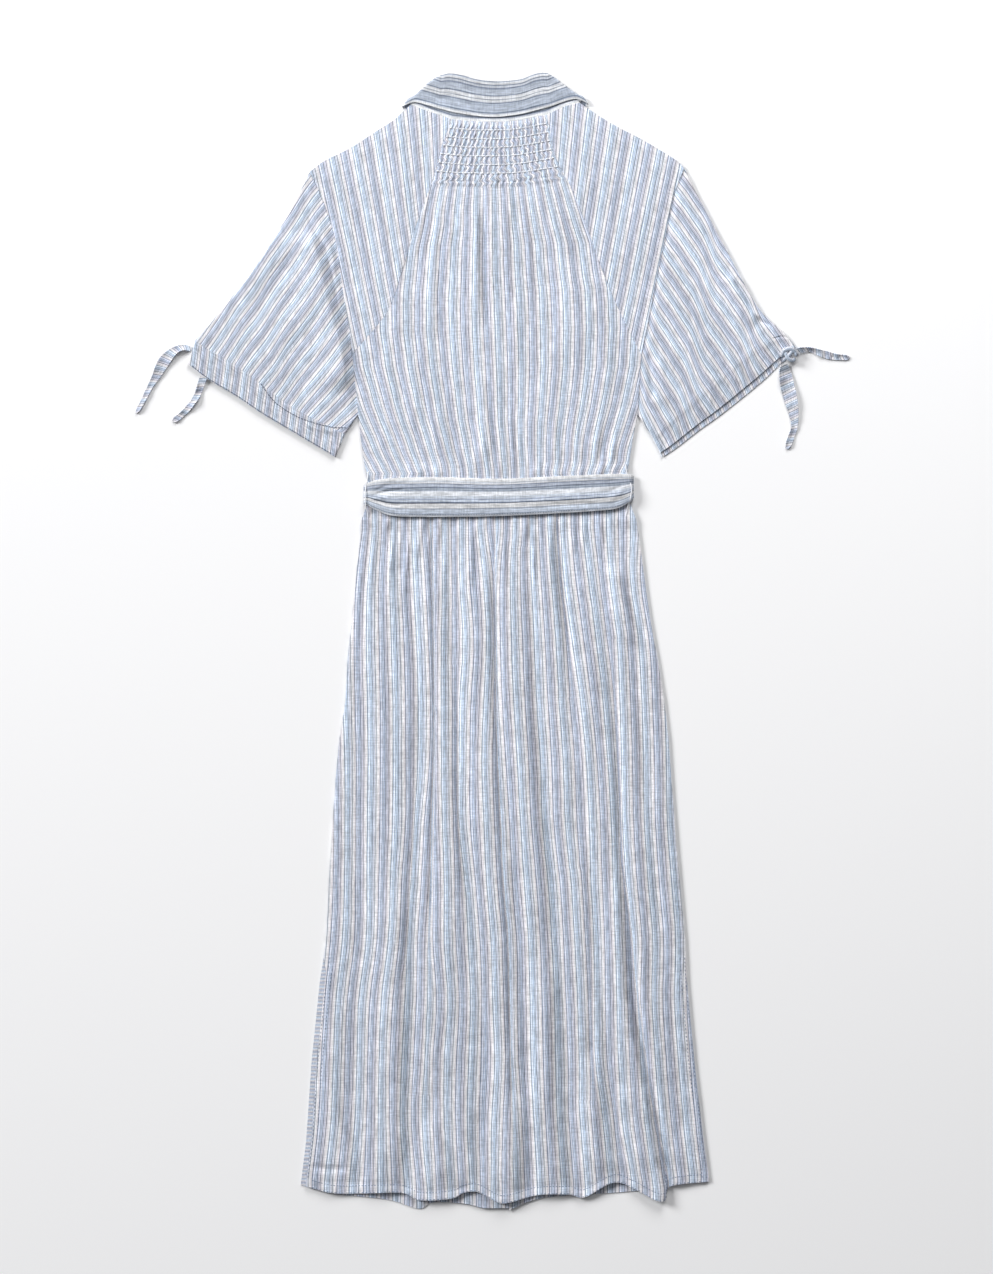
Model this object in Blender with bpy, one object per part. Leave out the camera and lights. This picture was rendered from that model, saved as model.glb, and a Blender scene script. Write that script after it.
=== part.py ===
"""Striped midi shirt dress laid flat on its front, with its back side up.

The frame is in the middle of the floor area that the dress covers: +Y points to the collar, +X to the
sleeve on the right of this back view, and Z = 0 is the surface that the front of the dress lies on.
"""

import math
from collections import namedtuple

import bmesh
import bpy
from mathutils import Vector

# Lengths are in millimetres, and MM turns them to metres when a mesh is made
MM = 0.001

# Cloth, seams and the layers of the stack
WALL = 1.0
SEAM_GAP = 0.3
HALF_GAP = SEAM_GAP / 2
LAYER_STEP = WALL + SEAM_GAP
LOFT = 0.8
LOFT_REACH = 20.0

# Button front, hidden under the dress
CENTRE_X = 3.8
PLACKET_HALF_WIDTH = 14.0
BUTTON_RADIUS = 5.5
BUTTON_THICKNESS = 1.5
BUTTON_TOP_Y = 498.0
BUTTON_PITCH = 104.0
BUTTON_COUNT = 10
PLACKET_RAISE = BUTTON_THICKNESS + SEAM_GAP
PLACKET_RAMP = 46.0

# Sash and the rise of the cloth that lies over its front half
WAIST_Y = 158.0
SASH_FLAT = 26.0
SASH_RAMP = 12.0
SASH_THICKNESS = 1.2
SASH_RAISE = SASH_THICKNESS + SEAM_GAP

# Rise of the front over the two collar leaves
NECK_CENTRE = Vector((5.0, 560.0))
LEAF_REACH = 120.0
LEAF_RAMP = 45.0

# Sleeves and cuffs, pressed tubes
SLEEVE_HEIGHT = 3.2
CUFF_HEIGHT = 3.8
TUBE_SETBACK = 2.4
TUBE_SIDE_HEIGHT = 0.72

# Folds of a sleeve, with places as fractions: a roll beside the armhole, and drags down to the cuff
ROLL_HEIGHT = 1.6
ROLL_ALONG, ROLL_ALONG_WIDTH = 0.10, 0.07
ROLL_ACROSS, ROLL_ACROSS_WIDTH = 0.45, 0.30
SleeveDrag = namedtuple("SleeveDrag", "across shift width height")
SLEEVE_DRAGS = (SleeveDrag(0.72, -0.10, 0.09, 1.0), SleeveDrag(0.30, 0.0, 0.10, 0.8))
CUFF_SEAM_RELIEF = 0.25

# Gathers, smocking and their relief
SMOCK_LINES = 7
SMOCK_PUCKERS = 24
SMOCK_RELIEF = 1.1
FLUTES = 14
FLUTE_RELIEF = 1.3
WAIST_GATHERS = 26
GATHER_RELIEF = 1.2
PRESSED_RELIEF = 0.5
SEAM_RELIEF = 0.35

# Where the gathers are full, how far they take to fade, and how fast they rise from an edge
BODICE_GATHER_Y = 184.0
BODICE_GATHER_FADE = 46.0
SKIRT_GATHER_Y = 100.0
SKIRT_GATHER_FADE = 50.0
EDGE_TAPER = 12.0
PRESS_FLAT = SASH_FLAT - 4.0
PRESS_RAMP = 6.0

# Where the folds of the skirt are full below the waist, and how far they take to fade above
FOLD_FULL_Y = 50.0
FOLD_FADE = 70.0

# Faces along the seams
RAGLAN_STEPS = 10
ARMHOLE_STEPS = 8
SHOULDER_STEPS = 5
CUFF_STEPS = 10
PANEL_STEPS = 8
HEM_STEPS = 36
ROUND_SIDES = 12
KNOT_RINGS = 6
KNOT_PINCH = 0.12
TIE_STEPS = 12

CLOTH_COLOUR = (0.60, 0.66, 0.76, 1.0)
CUFF_COLOUR = (0.55, 0.61, 0.73, 1.0)
SASH_COLOUR = (0.64, 0.68, 0.76, 1.0)
BUTTON_COLOUR = (0.82, 0.80, 0.76, 1.0)

# Outlines, seen from above; left and right are as in the back view
NECK_LEFT = ((-89, 585), (-68, 577), (-44, 569))
NECK_BACK = ((-44, 569), (-16, 566.5), (21, 567), (59, 574))
NECK_RIGHT = ((59, 574), (79, 583), (95, 587))
FRONT_NECK_LEFT = ((-89, 585), (-75, 556), (-44, 531), (-10.2, 521))
FRONT_NECK_RIGHT = ((95, 587), (82, 557), (53, 531), (17.8, 521))
SHOULDER_LEFT = ((-89, 585), (-108, 568), (-125, 557), (-155, 538), (-183, 524), (-199, 512))
SHOULDER_RIGHT = ((95, 587), (117, 572), (138, 560), (165, 546), (198, 526), (209, 516))
RAGLAN_LEFT = ((-44, 569), (-56, 538), (-66, 500), (-83, 454), (-99, 403), (-115, 359), (-153, 313))
RAGLAN_RIGHT = ((59, 574), (69, 528), (87, 492), (104, 449), (120, 403), (138, 361), (162, 313))
ARMHOLE_LEFT = ((-199, 512), (-185, 482), (-171, 438), (-163, 383), (-155, 334), (-153, 313))
ARMHOLE_RIGHT = ((209, 516), (197, 486), (190, 451), (177, 389), (168, 342), (162, 313))
SLEEVE_TOP_LEFT = ((-199, 512), (-220, 471), (-246, 427), (-278, 383), (-324, 328))
SLEEVE_TOP_RIGHT = ((209, 516), (226, 482), (255, 427), (289, 365), (319, 335))
CUFF_SEAM_LEFT = ((-324, 328), (-307, 317), (-283, 303), (-252, 280), (-221, 257), (-189, 240), (-161, 226))
CUFF_SEAM_RIGHT = ((319, 335), (302, 330), (287, 322), (264, 305), (232, 277), (204, 253), (173, 225))
CUFF_HEM_LEFT = ((-332, 303), (-310, 286), (-280, 268), (-252, 249), (-225, 233), (-198, 217), (-171, 201))
CUFF_HEM_RIGHT = ((332, 319), (318, 307), (293, 283), (251, 249), (226, 231), (200, 211), (185, 201))

# Sides of the body below the armholes; the sleeves lie against the first three rows
SideRow = namedtuple("SideRow", "y left right")
BODICE_SIDES = (
    SideRow(313, -153, 162),
    SideRow(280, -149.5, 160),
    SideRow(248, -146.3, 158),
    SideRow(222, -143.7, 153),
    SideRow(196, -140, 149),
    SideRow(184, -137, 147),
    SideRow(158, -134, 147.5),
)
SKIRT_SIDES = (
    SideRow(158, -134, 147.5),
    SideRow(132, -143, 157),
    SideRow(120, -143.5, 159),
    SideRow(67, -149, 166),
    SideRow(24, -153, 172),
    SideRow(-20, -158, 180),
    SideRow(-63, -160, 187),
    SideRow(-107, -167, 192),
    SideRow(-151, -171, 195),
    SideRow(-238, -177, 202),
    SideRow(-325, -181, 210),
    SideRow(-369, -188, 212),
    SideRow(-456, -197, 220),
    SideRow(-543, -203, 230),
    SideRow(-592, -209, 236),
)
SLIT_TOP_Y = -340.0
SLIT_SHOW = 5.5
SLIT_EASE = 24.0

HEM_BACK = (
    (-203.5, -593), (-168, -601), (-102, -600), (-79, -608), (-44, -606), (-32, -600), (-16, -599),
    (6, -610), (19, -610), (52, -602), (84, -602), (100, -605), (131, -589), (153, -595), (176, -607),
    (188, -608), (194, -593), (236, -588),
)
HEM_FRONT_LEFT = (
    (-209, -592), (-177, -601), (-114, -608), (-80, -618), (-66, -611), (-32, -612), (-10.2, -617),
)
HEM_FRONT_RIGHT = ((17.8, -620), (25, -616), (46, -608), (74, -604), (161, -598), (236, -586))

# Valleys of the skirt: their places at the fold lines, and how high the cloth stands on their left
FOLD_LINES_Y = (122.0, -63.0, -249.0, -423.0, -598.0)
Fold = namedtuple("Fold", "waist hip thigh knee hem rise")
SKIRT_FOLDS = (
    Fold(-131, -149, -142, -149, -144, 0.8),
    Fold(-99, -80, -82, -89, -93, 2.0),
    Fold(-52, -39, -28, -9, -13, 2.4),
    Fold(-1, 5, 23, 34, 41, 2.8),
    Fold(40, 49, 63, 80, 87, 2.8),
    Fold(72, 87, 106, 123, 146, 2.2),
    Fold(118, 130, 141, 156, 192, 2.6),
    Fold(145, 158, 178, 197, 218, 1.8),
)
RIGHT_EDGE_RISE = 0.8
LAPPED_FOLD = 6
LAP_TOP_Y = -230.0
LAP_FULL_Y = -360.0
LAP_RISE = 2.2
LAP_CREST = 0.9
HEM_FOLD_Y = -590.0

# Collar fall as one strip, from its middle at the front round the left end, over the back, to the front
BandSection = namedtuple("BandSection", "roll_x roll_y edge_x edge_y z")
COLLAR_FALL = (
    BandSection(2, 537, 2, 522, 0.5),
    BandSection(-20, 541, -30, 497, 0.5),
    BandSection(-44, 549, -58, 480, 0.5),
    BandSection(-66, 561, -82, 522, 0.5),
    BandSection(-82, 575, -94, 556, 0.5),
    BandSection(-89.5, 588, -96.8, 579.5, 0.5),
    BandSection(-91.2, 590, -98, 581.6, 1.1),
    BandSection(-91.8, 591, -98.4, 582.6, 2.5),
    BandSection(-90.5, 592, -96.5, 583.6, 4.2),
    BandSection(-83, 596, -86, 587.5, 4.5),
    BandSection(-68, 610, -71, 584.5, 4.5),
    BandSection(-51, 619, -56, 580, 4.5),
    BandSection(-35, 618, -39, 576, 4.5),
    BandSection(-16, 613, -16, 572.5, 4.5),
    BandSection(5, 611, 5, 571.5, 4.5),
    BandSection(30, 613, 30, 574.5, 4.5),
    BandSection(46, 619, 50, 579.5, 4.5),
    BandSection(58, 620, 62, 582.5, 4.5),
    BandSection(69, 613, 73, 586.5, 4.5),
    BandSection(81, 604, 84, 590, 4.5),
    BandSection(91, 597, 93, 591, 4.5),
    BandSection(97.6, 594, 102, 587, 4.2),
    BandSection(99, 593, 104.4, 585.4, 2.5),
    BandSection(98.4, 592, 104, 584.2, 1.1),
    BandSection(97, 590, 102.8, 582, 0.5),
    BandSection(90, 577, 102, 557, 0.5),
    BandSection(74, 563, 90, 522, 0.5),
    BandSection(52, 550, 66, 480, 0.5),
    BandSection(29, 542, 38, 497, 0.5),
    BandSection(6, 537, 6, 522, 0.5),
)
STAND_TOP_BACK = (
    (-84, 592.5), (-68, 605), (-51, 614), (-35, 613), (-16, 608), (5, 606), (30, 608), (46, 614),
    (58, 615), (69, 608), (81, 599.5), (91.5, 592.5),
)
STAND_TOP_FRONT = ((-85, 588), (-66, 562), (-40, 549), (4, 543), (47, 550), (72, 563), (91, 589.5))

# Sash as one strip, from its lapped middle at the front round the left side, over the back, to the front
SashSection = namedtuple("SashSection", "x low high z")
SASH = (
    SashSection(2.2, 137, 179, 0.6),
    SashSection(-60, 138, 178, 0.6),
    SashSection(-120, 139, 177, 0.6),
    SashSection(-137, 147, 174, 0.7),
    SashSection(-139.3, 149, 173, 1.4),
    SashSection(-139.8, 149, 172, 2.7),
    SashSection(-139.0, 149, 172, 4.1),
    SashSection(-136, 149, 172.5, 4.9),
    SashSection(-125, 143, 176, 5.3),
    SashSection(-106, 137, 178, 5.7),
    SashSection(-57, 136, 179, 5.8),
    SashSection(-12, 136.5, 177.5, 6.1),
    SashSection(20, 137.5, 177.5, 6.1),
    SashSection(52, 139, 179, 5.8),
    SashSection(117, 143, 182, 5.7),
    SashSection(137, 146, 182.5, 5.3),
    SashSection(149, 152, 182, 4.9),
    SashSection(152.6, 156, 181, 4.1),
    SashSection(153.4, 157, 180.5, 2.7),
    SashSection(152.8, 156, 180, 1.4),
    SashSection(150, 152, 180, 0.7),
    SashSection(125, 141, 178, 0.6),
    SashSection(65, 138, 178, 0.6),
    SashSection(5.4, 137, 179, 0.6),
)

# Thread loops over the sash at the side seams
LoopSection = namedtuple("LoopSection", "y z")
LOOP_HALF_WIDTH = 1.6
LOOP_THICKNESS = 0.8
LOOP_LEFT_X = -133.0
LOOP_LEFT = (
    LoopSection(186.5, 4.6), LoopSection(178.5, 5.0), LoopSection(175.5, 6.4), LoopSection(160, 6.7),
    LoopSection(145, 6.4), LoopSection(140.5, 5.0), LoopSection(134, 4.6),
)
LOOP_RIGHT_X = 144.0
LOOP_RIGHT = (
    LoopSection(194, 4.4), LoopSection(187.5, 5.0), LoopSection(184, 6.4), LoopSection(166, 6.8),
    LoopSection(148, 6.4), LoopSection(142.5, 5.0), LoopSection(134, 4.8),
)

# Tie tails of the cuffs: points along the middle of each flat tail, its width there and the knot
TiePoint = namedtuple("TiePoint", "x y width")
TIE_THICKNESS = 1.6
TIES = {
    "tie_left_outer": (
        TiePoint(-328.6, 319, 7), TiePoint(-338, 318, 9), TiePoint(-348, 311, 14), TiePoint(-358, 300, 15),
        TiePoint(-367, 286, 13), TiePoint(-376, 270, 9), TiePoint(-383, 258, 7), TiePoint(-389, 249, 6),
    ),
    "tie_left_inner": (
        TiePoint(-314.7, 288.1, 8), TiePoint(-318, 279, 8), TiePoint(-321, 270, 7), TiePoint(-327, 260, 7),
        TiePoint(-337, 249, 6), TiePoint(-348, 240, 6),
    ),
    "tie_right_outer": (
        TiePoint(332.3, 317.3, 6), TiePoint(345, 318.5, 6), TiePoint(356, 315, 7), TiePoint(364, 312.5, 8),
        TiePoint(374, 310.5, 7), TiePoint(389, 309.5, 5),
    ),
    "tie_right_inner": (
        TiePoint(317.7, 301.8, 9), TiePoint(319, 291, 14), TiePoint(322, 276, 15), TiePoint(325.5, 262, 14),
        TiePoint(328.5, 247, 10), TiePoint(329, 234, 7), TiePoint(325, 222, 7), TiePoint(321, 210, 6),
    ),
}
KNOT_CENTRE = Vector((323.0, 313.5, 6.55))
KNOT_RADII = Vector((5.5, 5.0, 3.0))


def smooth_curve(points):
    """A curve through points by arc length: a function from 0 to 1 that gives a place on it."""
    samples_per_span = 12
    knots = [Vector(p) for p in points]
    padded = [2 * knots[0] - knots[1]] + knots + [2 * knots[-1] - knots[-2]]
    samples = []
    for before, start, end, after in zip(padded, padded[1:], padded[2:], padded[3:]):
        for step in range(samples_per_span):
            t = step / samples_per_span
            samples.append(0.5 * (
                2 * start + (end - before) * t
                + (2 * before - 5 * start + 4 * end - after) * t * t
                + (3 * start - before - 3 * end + after) * t * t * t
            ))
    samples.append(knots[-1])
    lengths = [0.0]
    for here, there in zip(samples, samples[1:]):
        lengths.append(lengths[-1] + (there - here).length)

    def place(fraction):
        target = fraction * lengths[-1]
        for i in range(len(lengths) - 1):
            if target <= lengths[i + 1] or i == len(lengths) - 2:
                span = lengths[i + 1] - lengths[i]
                return samples[i].lerp(samples[i + 1], (target - lengths[i]) / span)

    return place


def seam(points, steps):
    """A seam line as straight steps of even length, so that the pieces on both sides share it."""
    curve = smooth_curve(points)
    return [curve(i / steps) for i in range(steps + 1)]


def along_line(line, fraction):
    """The place at a fraction of a line's steps."""
    position = min(max(fraction, 0.0), 1.0) * (len(line) - 1)
    index = min(int(position), len(line) - 2)
    return line[index].lerp(line[index + 1], position - index)


def even(count):
    """Fractions from 0 to 1 in a number of steps."""
    return [i / count for i in range(count + 1)]


def ramp(distance, flat, reach):
    """1 up to a flat distance, falling to 0 over a reach beyond it."""
    return min(max(1.0 - (distance - flat) / reach, 0.0), 1.0)


def row_value(rows, y, side):
    """Where a side of the body lies at a height."""
    values = [(row.y, getattr(row, side)) for row in rows]
    for (high, x_high), (low, x_low) in zip(values, values[1:]):
        if y >= low:
            return x_high + (x_low - x_high) * (high - min(y, high)) / (high - low)
    return values[-1][1]


def front_rise(x, y):
    """Height of the front's outer face over the floor: buttons, sash and collar leaves lie under it."""
    placket = PLACKET_RAISE * ramp(abs(x - CENTRE_X), PLACKET_HALF_WIDTH, PLACKET_RAMP)
    sash = SASH_RAISE * ramp(abs(y - WAIST_Y), SASH_FLAT, SASH_RAMP)
    leaves = LAYER_STEP * ramp((Vector((x, y)) - NECK_CENTRE).length, LEAF_REACH, LEAF_RAMP)
    return max(placket, sash, leaves)


def body_edges(y):
    """Left and right outline of the body without its sleeves at a height."""
    upper = (
        SideRow(586, -89, 95),
        SideRow(572, -104, 117),
        SideRow(546, -141, 165),
        SideRow(514, -196, 209),
        SideRow(486, -187, 197),
        SideRow(451, -175, 190),
        SideRow(383, -163, 176),
    )
    rows = upper + BODICE_SIDES + SKIRT_SIDES[1:]
    return row_value(rows, y, "left"), row_value(rows, y, "right")


def back_rise(x, y):
    """Height of the back's inner face over the floor, lying on the front with a little air between."""
    left, right = body_edges(y)
    inside = min(max(min(x - left, right - x), 0.0) / LOFT_REACH, 1.0)
    under_sash = 0.6 * ramp(abs(y - WAIST_Y), SASH_FLAT, SASH_RAMP)
    return front_rise(x, y) + LAYER_STEP + LOFT * inside * (1.0 - under_sash)


def inset(loop, distance):
    """A closed outline moved inward by a distance, corner by corner."""
    area = sum(a.x * b.y - b.x * a.y for a, b in zip(loop, loop[1:] + loop[:1]))
    turn = 1.0 if area > 0 else -1.0
    moved = []
    for before, here, after in zip(loop[-1:] + loop[:-1], loop, loop[1:] + loop[:1]):
        entry = (here - before).normalized()
        leave = (after - here).normalized()
        entry_normal = Vector((-entry.y, entry.x)) * turn
        leave_normal = Vector((-leave.y, leave.x)) * turn
        middle = (entry_normal + leave_normal).normalized()
        moved.append(here + middle * distance / max(0.5, middle.dot(entry_normal)))
    return moved


class Patch:
    """Flat outline of a piece, between four sides; u runs from its left to its right side, v downward."""

    def __init__(self, top, bottom, left, right, top_reach=1.0, bottom_reach=1.0):
        loop = left[:-1] + bottom[:-1] + right[:0:-1] + top[:0:-1]
        loop = inset(loop, HALF_GAP)
        self.top_reach = top_reach
        self.bottom_reach = bottom_reach
        a, b = len(left) - 1, len(left) - 1 + len(bottom) - 1
        c = b + len(right) - 1
        self.left = loop[:a + 1]
        self.bottom = loop[a:b + 1]
        self.right = loop[b:c + 1][::-1]
        self.top = (loop[c:] + loop[:1])[::-1]

    def at(self, u, v):
        """The place at fractions across and along; an end's own shape fades out over its reach."""
        row = along_line(self.left, v).lerp(along_line(self.right, v), u)
        top_shape = along_line(self.top, u) - self.top[0].lerp(self.top[-1], u)
        bottom_shape = along_line(self.bottom, u) - self.bottom[0].lerp(self.bottom[-1], u)
        top_share = ramp(v, 0.0, self.top_reach)
        bottom_share = ramp(1 - v, 0.0, self.bottom_reach)
        return row + top_shape * top_share + bottom_shape * bottom_share


class Solid:
    """A closed mesh put together from runs of points."""

    def __init__(self):
        self.points = []
        self.faces = []

    def run(self, places):
        """Adds a run of (fraction, place) and returns it as (fraction, vertex number)."""
        numbers = []
        for fraction, place in places:
            numbers.append((fraction, len(self.points)))
            self.points.append(Vector(place) * MM)
        return numbers

    def bridge(self, first, second):
        """Joins two runs with faces, four-sided where their fractions agree."""
        i = j = 0
        while i < len(first) - 1 or j < len(second) - 1:
            next_first = first[i + 1][0] if i < len(first) - 1 else math.inf
            next_second = second[j + 1][0] if j < len(second) - 1 else math.inf
            if abs(next_first - next_second) < 1e-6:
                self.faces.append((first[i][1], first[i + 1][1], second[j + 1][1], second[j][1]))
                i += 1
                j += 1
            elif next_first < next_second:
                self.faces.append((first[i][1], first[i + 1][1], second[j][1]))
                i += 1
            else:
                self.faces.append((first[i][1], second[j + 1][1], second[j][1]))
                j += 1

    def close_walls(self, upper, lower):
        """Closes the rim between an upper and a lower face, each a list of (fraction, run)."""
        self.bridge(upper[0][1], lower[0][1])
        self.bridge(upper[-1][1], lower[-1][1])
        for end in (0, -1):
            self.bridge(
                [(v, run[end][1]) for v, run in upper],
                [(v, run[end][1]) for v, run in lower],
            )

    def face(self, rows):
        """Adds a face from rows of (fraction, places) and returns its numbered rows."""
        numbered = [(v, self.run(places)) for v, places in rows]
        for (_, first), (_, second) in zip(numbered, numbered[1:]):
            self.bridge(first, second)
        return numbered


def add_object(name, solid, colour, roughness=0.85, smooth_angle=40.0):
    """Makes the mesh object of a piece, with its own material."""
    mesh = bpy.data.meshes.new(name)
    mesh.from_pydata([tuple(p) for p in solid.points], [], solid.faces)
    mesh.validate()
    orient_outward(mesh)
    mesh.shade_smooth()
    mesh.set_sharp_from_angle(angle=math.radians(smooth_angle))
    material = bpy.data.materials.new(name)
    material.use_nodes = True
    shader = material.node_tree.nodes["Principled BSDF"]
    shader.inputs["Base Color"].default_value = colour
    shader.inputs["Roughness"].default_value = roughness
    shader.inputs["Metallic"].default_value = 0.0
    mesh.materials.append(material)
    piece = bpy.data.objects.new(name, mesh)
    bpy.context.scene.collection.objects.link(piece)
    return piece


def orient_outward(mesh):
    """Turns every face of a closed mesh to point out."""
    work = bmesh.new()
    work.from_mesh(mesh)
    bmesh.ops.triangulate(work, faces=work.faces[:])
    bmesh.ops.recalc_face_normals(work, faces=work.faces[:])
    if work.calc_volume(signed=True) < 0:
        bmesh.ops.reverse_faces(work, faces=work.faces[:])
    work.to_mesh(mesh)
    work.free()


def panel(name, patch, upper_rows, lower_rows, under, relief, colour=CLOTH_COLOUR):
    """A cloth panel: its lower face lies at under(x, y), its upper one a wall and its relief higher."""
    solid = Solid()

    def upper_place(u, v):
        place = patch.at(u, v)
        return (place.x, place.y, under(place.x, place.y) + WALL + relief(u, v, place))

    def lower_place(u, v):
        place = patch.at(u, v)
        return (place.x, place.y, under(place.x, place.y))

    upper = solid.face([(v, [(u, upper_place(u, v)) for u in across]) for v, across in upper_rows])
    lower = solid.face([(v, [(u, lower_place(u, v)) for u in across]) for v, across in lower_rows])
    solid.close_walls(upper, lower)
    return add_object(name, solid, colour)


def pressed_tube(name, patch, across, along, height, relief, colour):
    """A sleeve or cuff pressed flat: an outer skin all round and an inner one a wall inside it."""
    solid = Solid()
    middle = height / 2

    def ring(v, half_height, setback, top_relief):
        """Places round the tube, as (fraction of a turn, place): the lower face, then the upper one."""
        width = (patch.at(1, v) - patch.at(0, v)).length
        round_off = min((half_height + setback) / width, 0.3)
        start = min(setback / width, 0.3)
        shoulder = start + (round_off - start) * 0.3
        near = [(0.0, start, 0.0), (0.02, shoulder, TUBE_SIDE_HEIGHT)]
        flat = [(u / 2, u, 1.0) for u in across[1:-1] if round_off < u < 1 - round_off]
        far = [(0.48, 1 - shoulder, TUBE_SIDE_HEIGHT), (0.5, 1 - start, 0.0)]
        places = []
        for fraction, u, share in near + flat + far:
            place = patch.at(u, v)
            places.append((fraction, (place.x, place.y, middle - half_height * share)))
        for fraction, u, share in reversed((near + flat + far)[1:-1]):
            place = patch.at(u, v)
            lift = relief(u, v) * share if top_relief else 0.0
            places.append((1 - fraction, (place.x, place.y, middle + half_height * share + lift)))
        return places

    outer = [solid.run(ring(v, middle, 0.0, True)) for v in along]
    inner = [solid.run(ring(v, middle - WALL, TUBE_SETBACK, False)) for v in along]

    def closed(run):
        """A run of the ring that ends where it starts."""
        return run + [(run[0][0] + 1.0, run[0][1])]

    for rings in (outer, inner):
        for first, second in zip(rings, rings[1:]):
            solid.bridge(closed(first), closed(second))
    for end in (0, -1):
        solid.bridge(closed(outer[end]), closed(inner[end]))
    return add_object(name, solid, colour)


def strip(name, rows, thickness, colour):
    """A strip of cloth with its middle at rows of places, half its thickness to each side."""
    solid = Solid()
    count = len(rows)
    width = len(rows[0])
    normals = []
    for i in range(count):
        line = []
        for j in range(width):
            along = rows[min(i + 1, count - 1)][j] - rows[max(i - 1, 0)][j]
            across = rows[i][min(j + 1, width - 1)] - rows[i][max(j - 1, 0)]
            line.append(along.cross(across).normalized())
        normals.append(line)

    def skin(offset):
        """Rows of one face of the strip."""
        return [
            (i, [(j, rows[i][j] + normals[i][j] * offset) for j in range(width)]) for i in range(count)
        ]

    upper = solid.face(skin(thickness / 2))
    lower = solid.face(skin(-thickness / 2))
    solid.close_walls(upper, lower)
    return add_object(name, solid, colour)


def gather_relief(u, y, height):
    """Height of the waist gathers at a fraction across, pressed down where the sash lies over them."""
    pressed = ramp(abs(y - WAIST_Y), PRESS_FLAT, PRESS_RAMP)
    full = height * (1.0 - pressed) + PRESSED_RELIEF * pressed
    wave = 0.5 - 0.5 * math.cos(2 * math.pi * WAIST_GATHERS * u)
    uneven = 0.7 + 0.3 * math.sin(9.0 * u * math.pi)
    taper = min(u * EDGE_TAPER, (1 - u) * EDGE_TAPER, 1.0)
    return full * wave * uneven * taper


def smock_rows():
    """Rows of the smocked neck as places along the raglan steps: a stitched line, then a puffed row."""
    rows_per_step = 6
    return [i / rows_per_step for i in range(2 * SMOCK_LINES + 2)]


def build_back_bodice():
    """Back bodice: smocked at the neck, fluted below it and gathered into the waist."""
    side_left = [Vector((row.left, row.y)) for row in BODICE_SIDES]
    side_right = [Vector((row.right, row.y)) for row in BODICE_SIDES]
    left = seam(RAGLAN_LEFT, RAGLAN_STEPS) + side_left[1:]
    right = seam(RAGLAN_RIGHT, RAGLAN_STEPS) + side_right[1:]
    patch = Patch(seam(NECK_BACK, 4), [side_left[-1], side_right[-1]], left, right, top_reach=0.5)
    steps = len(left) - 1
    rows = smock_rows()
    smock_end = rows[-1]
    flute_end = RAGLAN_STEPS - 1

    def relief(u, v, place):
        """Height of the puckers, flutes and gathers over the plain cloth."""
        row = v * steps
        if row <= smock_end + 1e-6:
            puffed = round(row / rows[1]) % 2
            pucker = round(u * SMOCK_PUCKERS * 2) % 2
            edge = min(u * SMOCK_PUCKERS, (1 - u) * SMOCK_PUCKERS, 1.0)
            return SMOCK_RELIEF * (0.35 + 0.65 * pucker) * puffed * edge * min(row * 3, 1.0)
        if row <= flute_end:
            fade = 1.0 - 0.75 * (row - smock_end) / (flute_end - smock_end)
            wave = 0.5 - 0.5 * math.cos(2 * math.pi * FLUTES * u)
            uneven = 0.75 + 0.25 * math.sin(7.0 * u * math.pi + 0.6)
            return FLUTE_RELIEF * fade * wave * uneven
        return gather_relief(u, place.y, GATHER_RELIEF * ramp(place.y, BODICE_GATHER_Y, BODICE_GATHER_FADE))

    smock = [(row / steps, even(SMOCK_PUCKERS * 2)) for row in rows]
    flutes = [(row / steps, even(FLUTES * 3)) for row in range(3, RAGLAN_STEPS + 1)]
    waist = [(RAGLAN_STEPS + i) / steps for i in range(1, len(side_left))]
    plain = [(v, even(FLUTES * 3)) for v in waist[:2]]
    gathers = [(v, even(WAIST_GATHERS * 4)) for v in waist[2:]]
    lower = [(row / steps, even(16)) for row in range(0, steps)] + gathers[-1:]
    panel("back_bodice", patch, smock + flutes + plain + gathers, lower, back_rise, relief)


def build_shoulder(name, neck, shoulder, armhole, raglan):
    """Raglan shoulder piece between the neck, the shoulder fold, the armhole and the raglan seam."""
    outer = seam(shoulder, SHOULDER_STEPS)
    patch = Patch(seam(neck, 2), seam(armhole, ARMHOLE_STEPS), outer, seam(raglan, RAGLAN_STEPS))
    across = even(ARMHOLE_STEPS)
    rows = [(v, across) for v in even(RAGLAN_STEPS)]

    def relief(u, v, place):
        """Seam allowances make the raglan and armhole edges a little thicker."""
        return SEAM_RELIEF * max(1.0 - 5.0 * (1.0 - u), 1.0 - 9.0 * (1.0 - v), 0.0)

    panel(name, patch, rows, rows, back_rise, relief)


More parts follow.
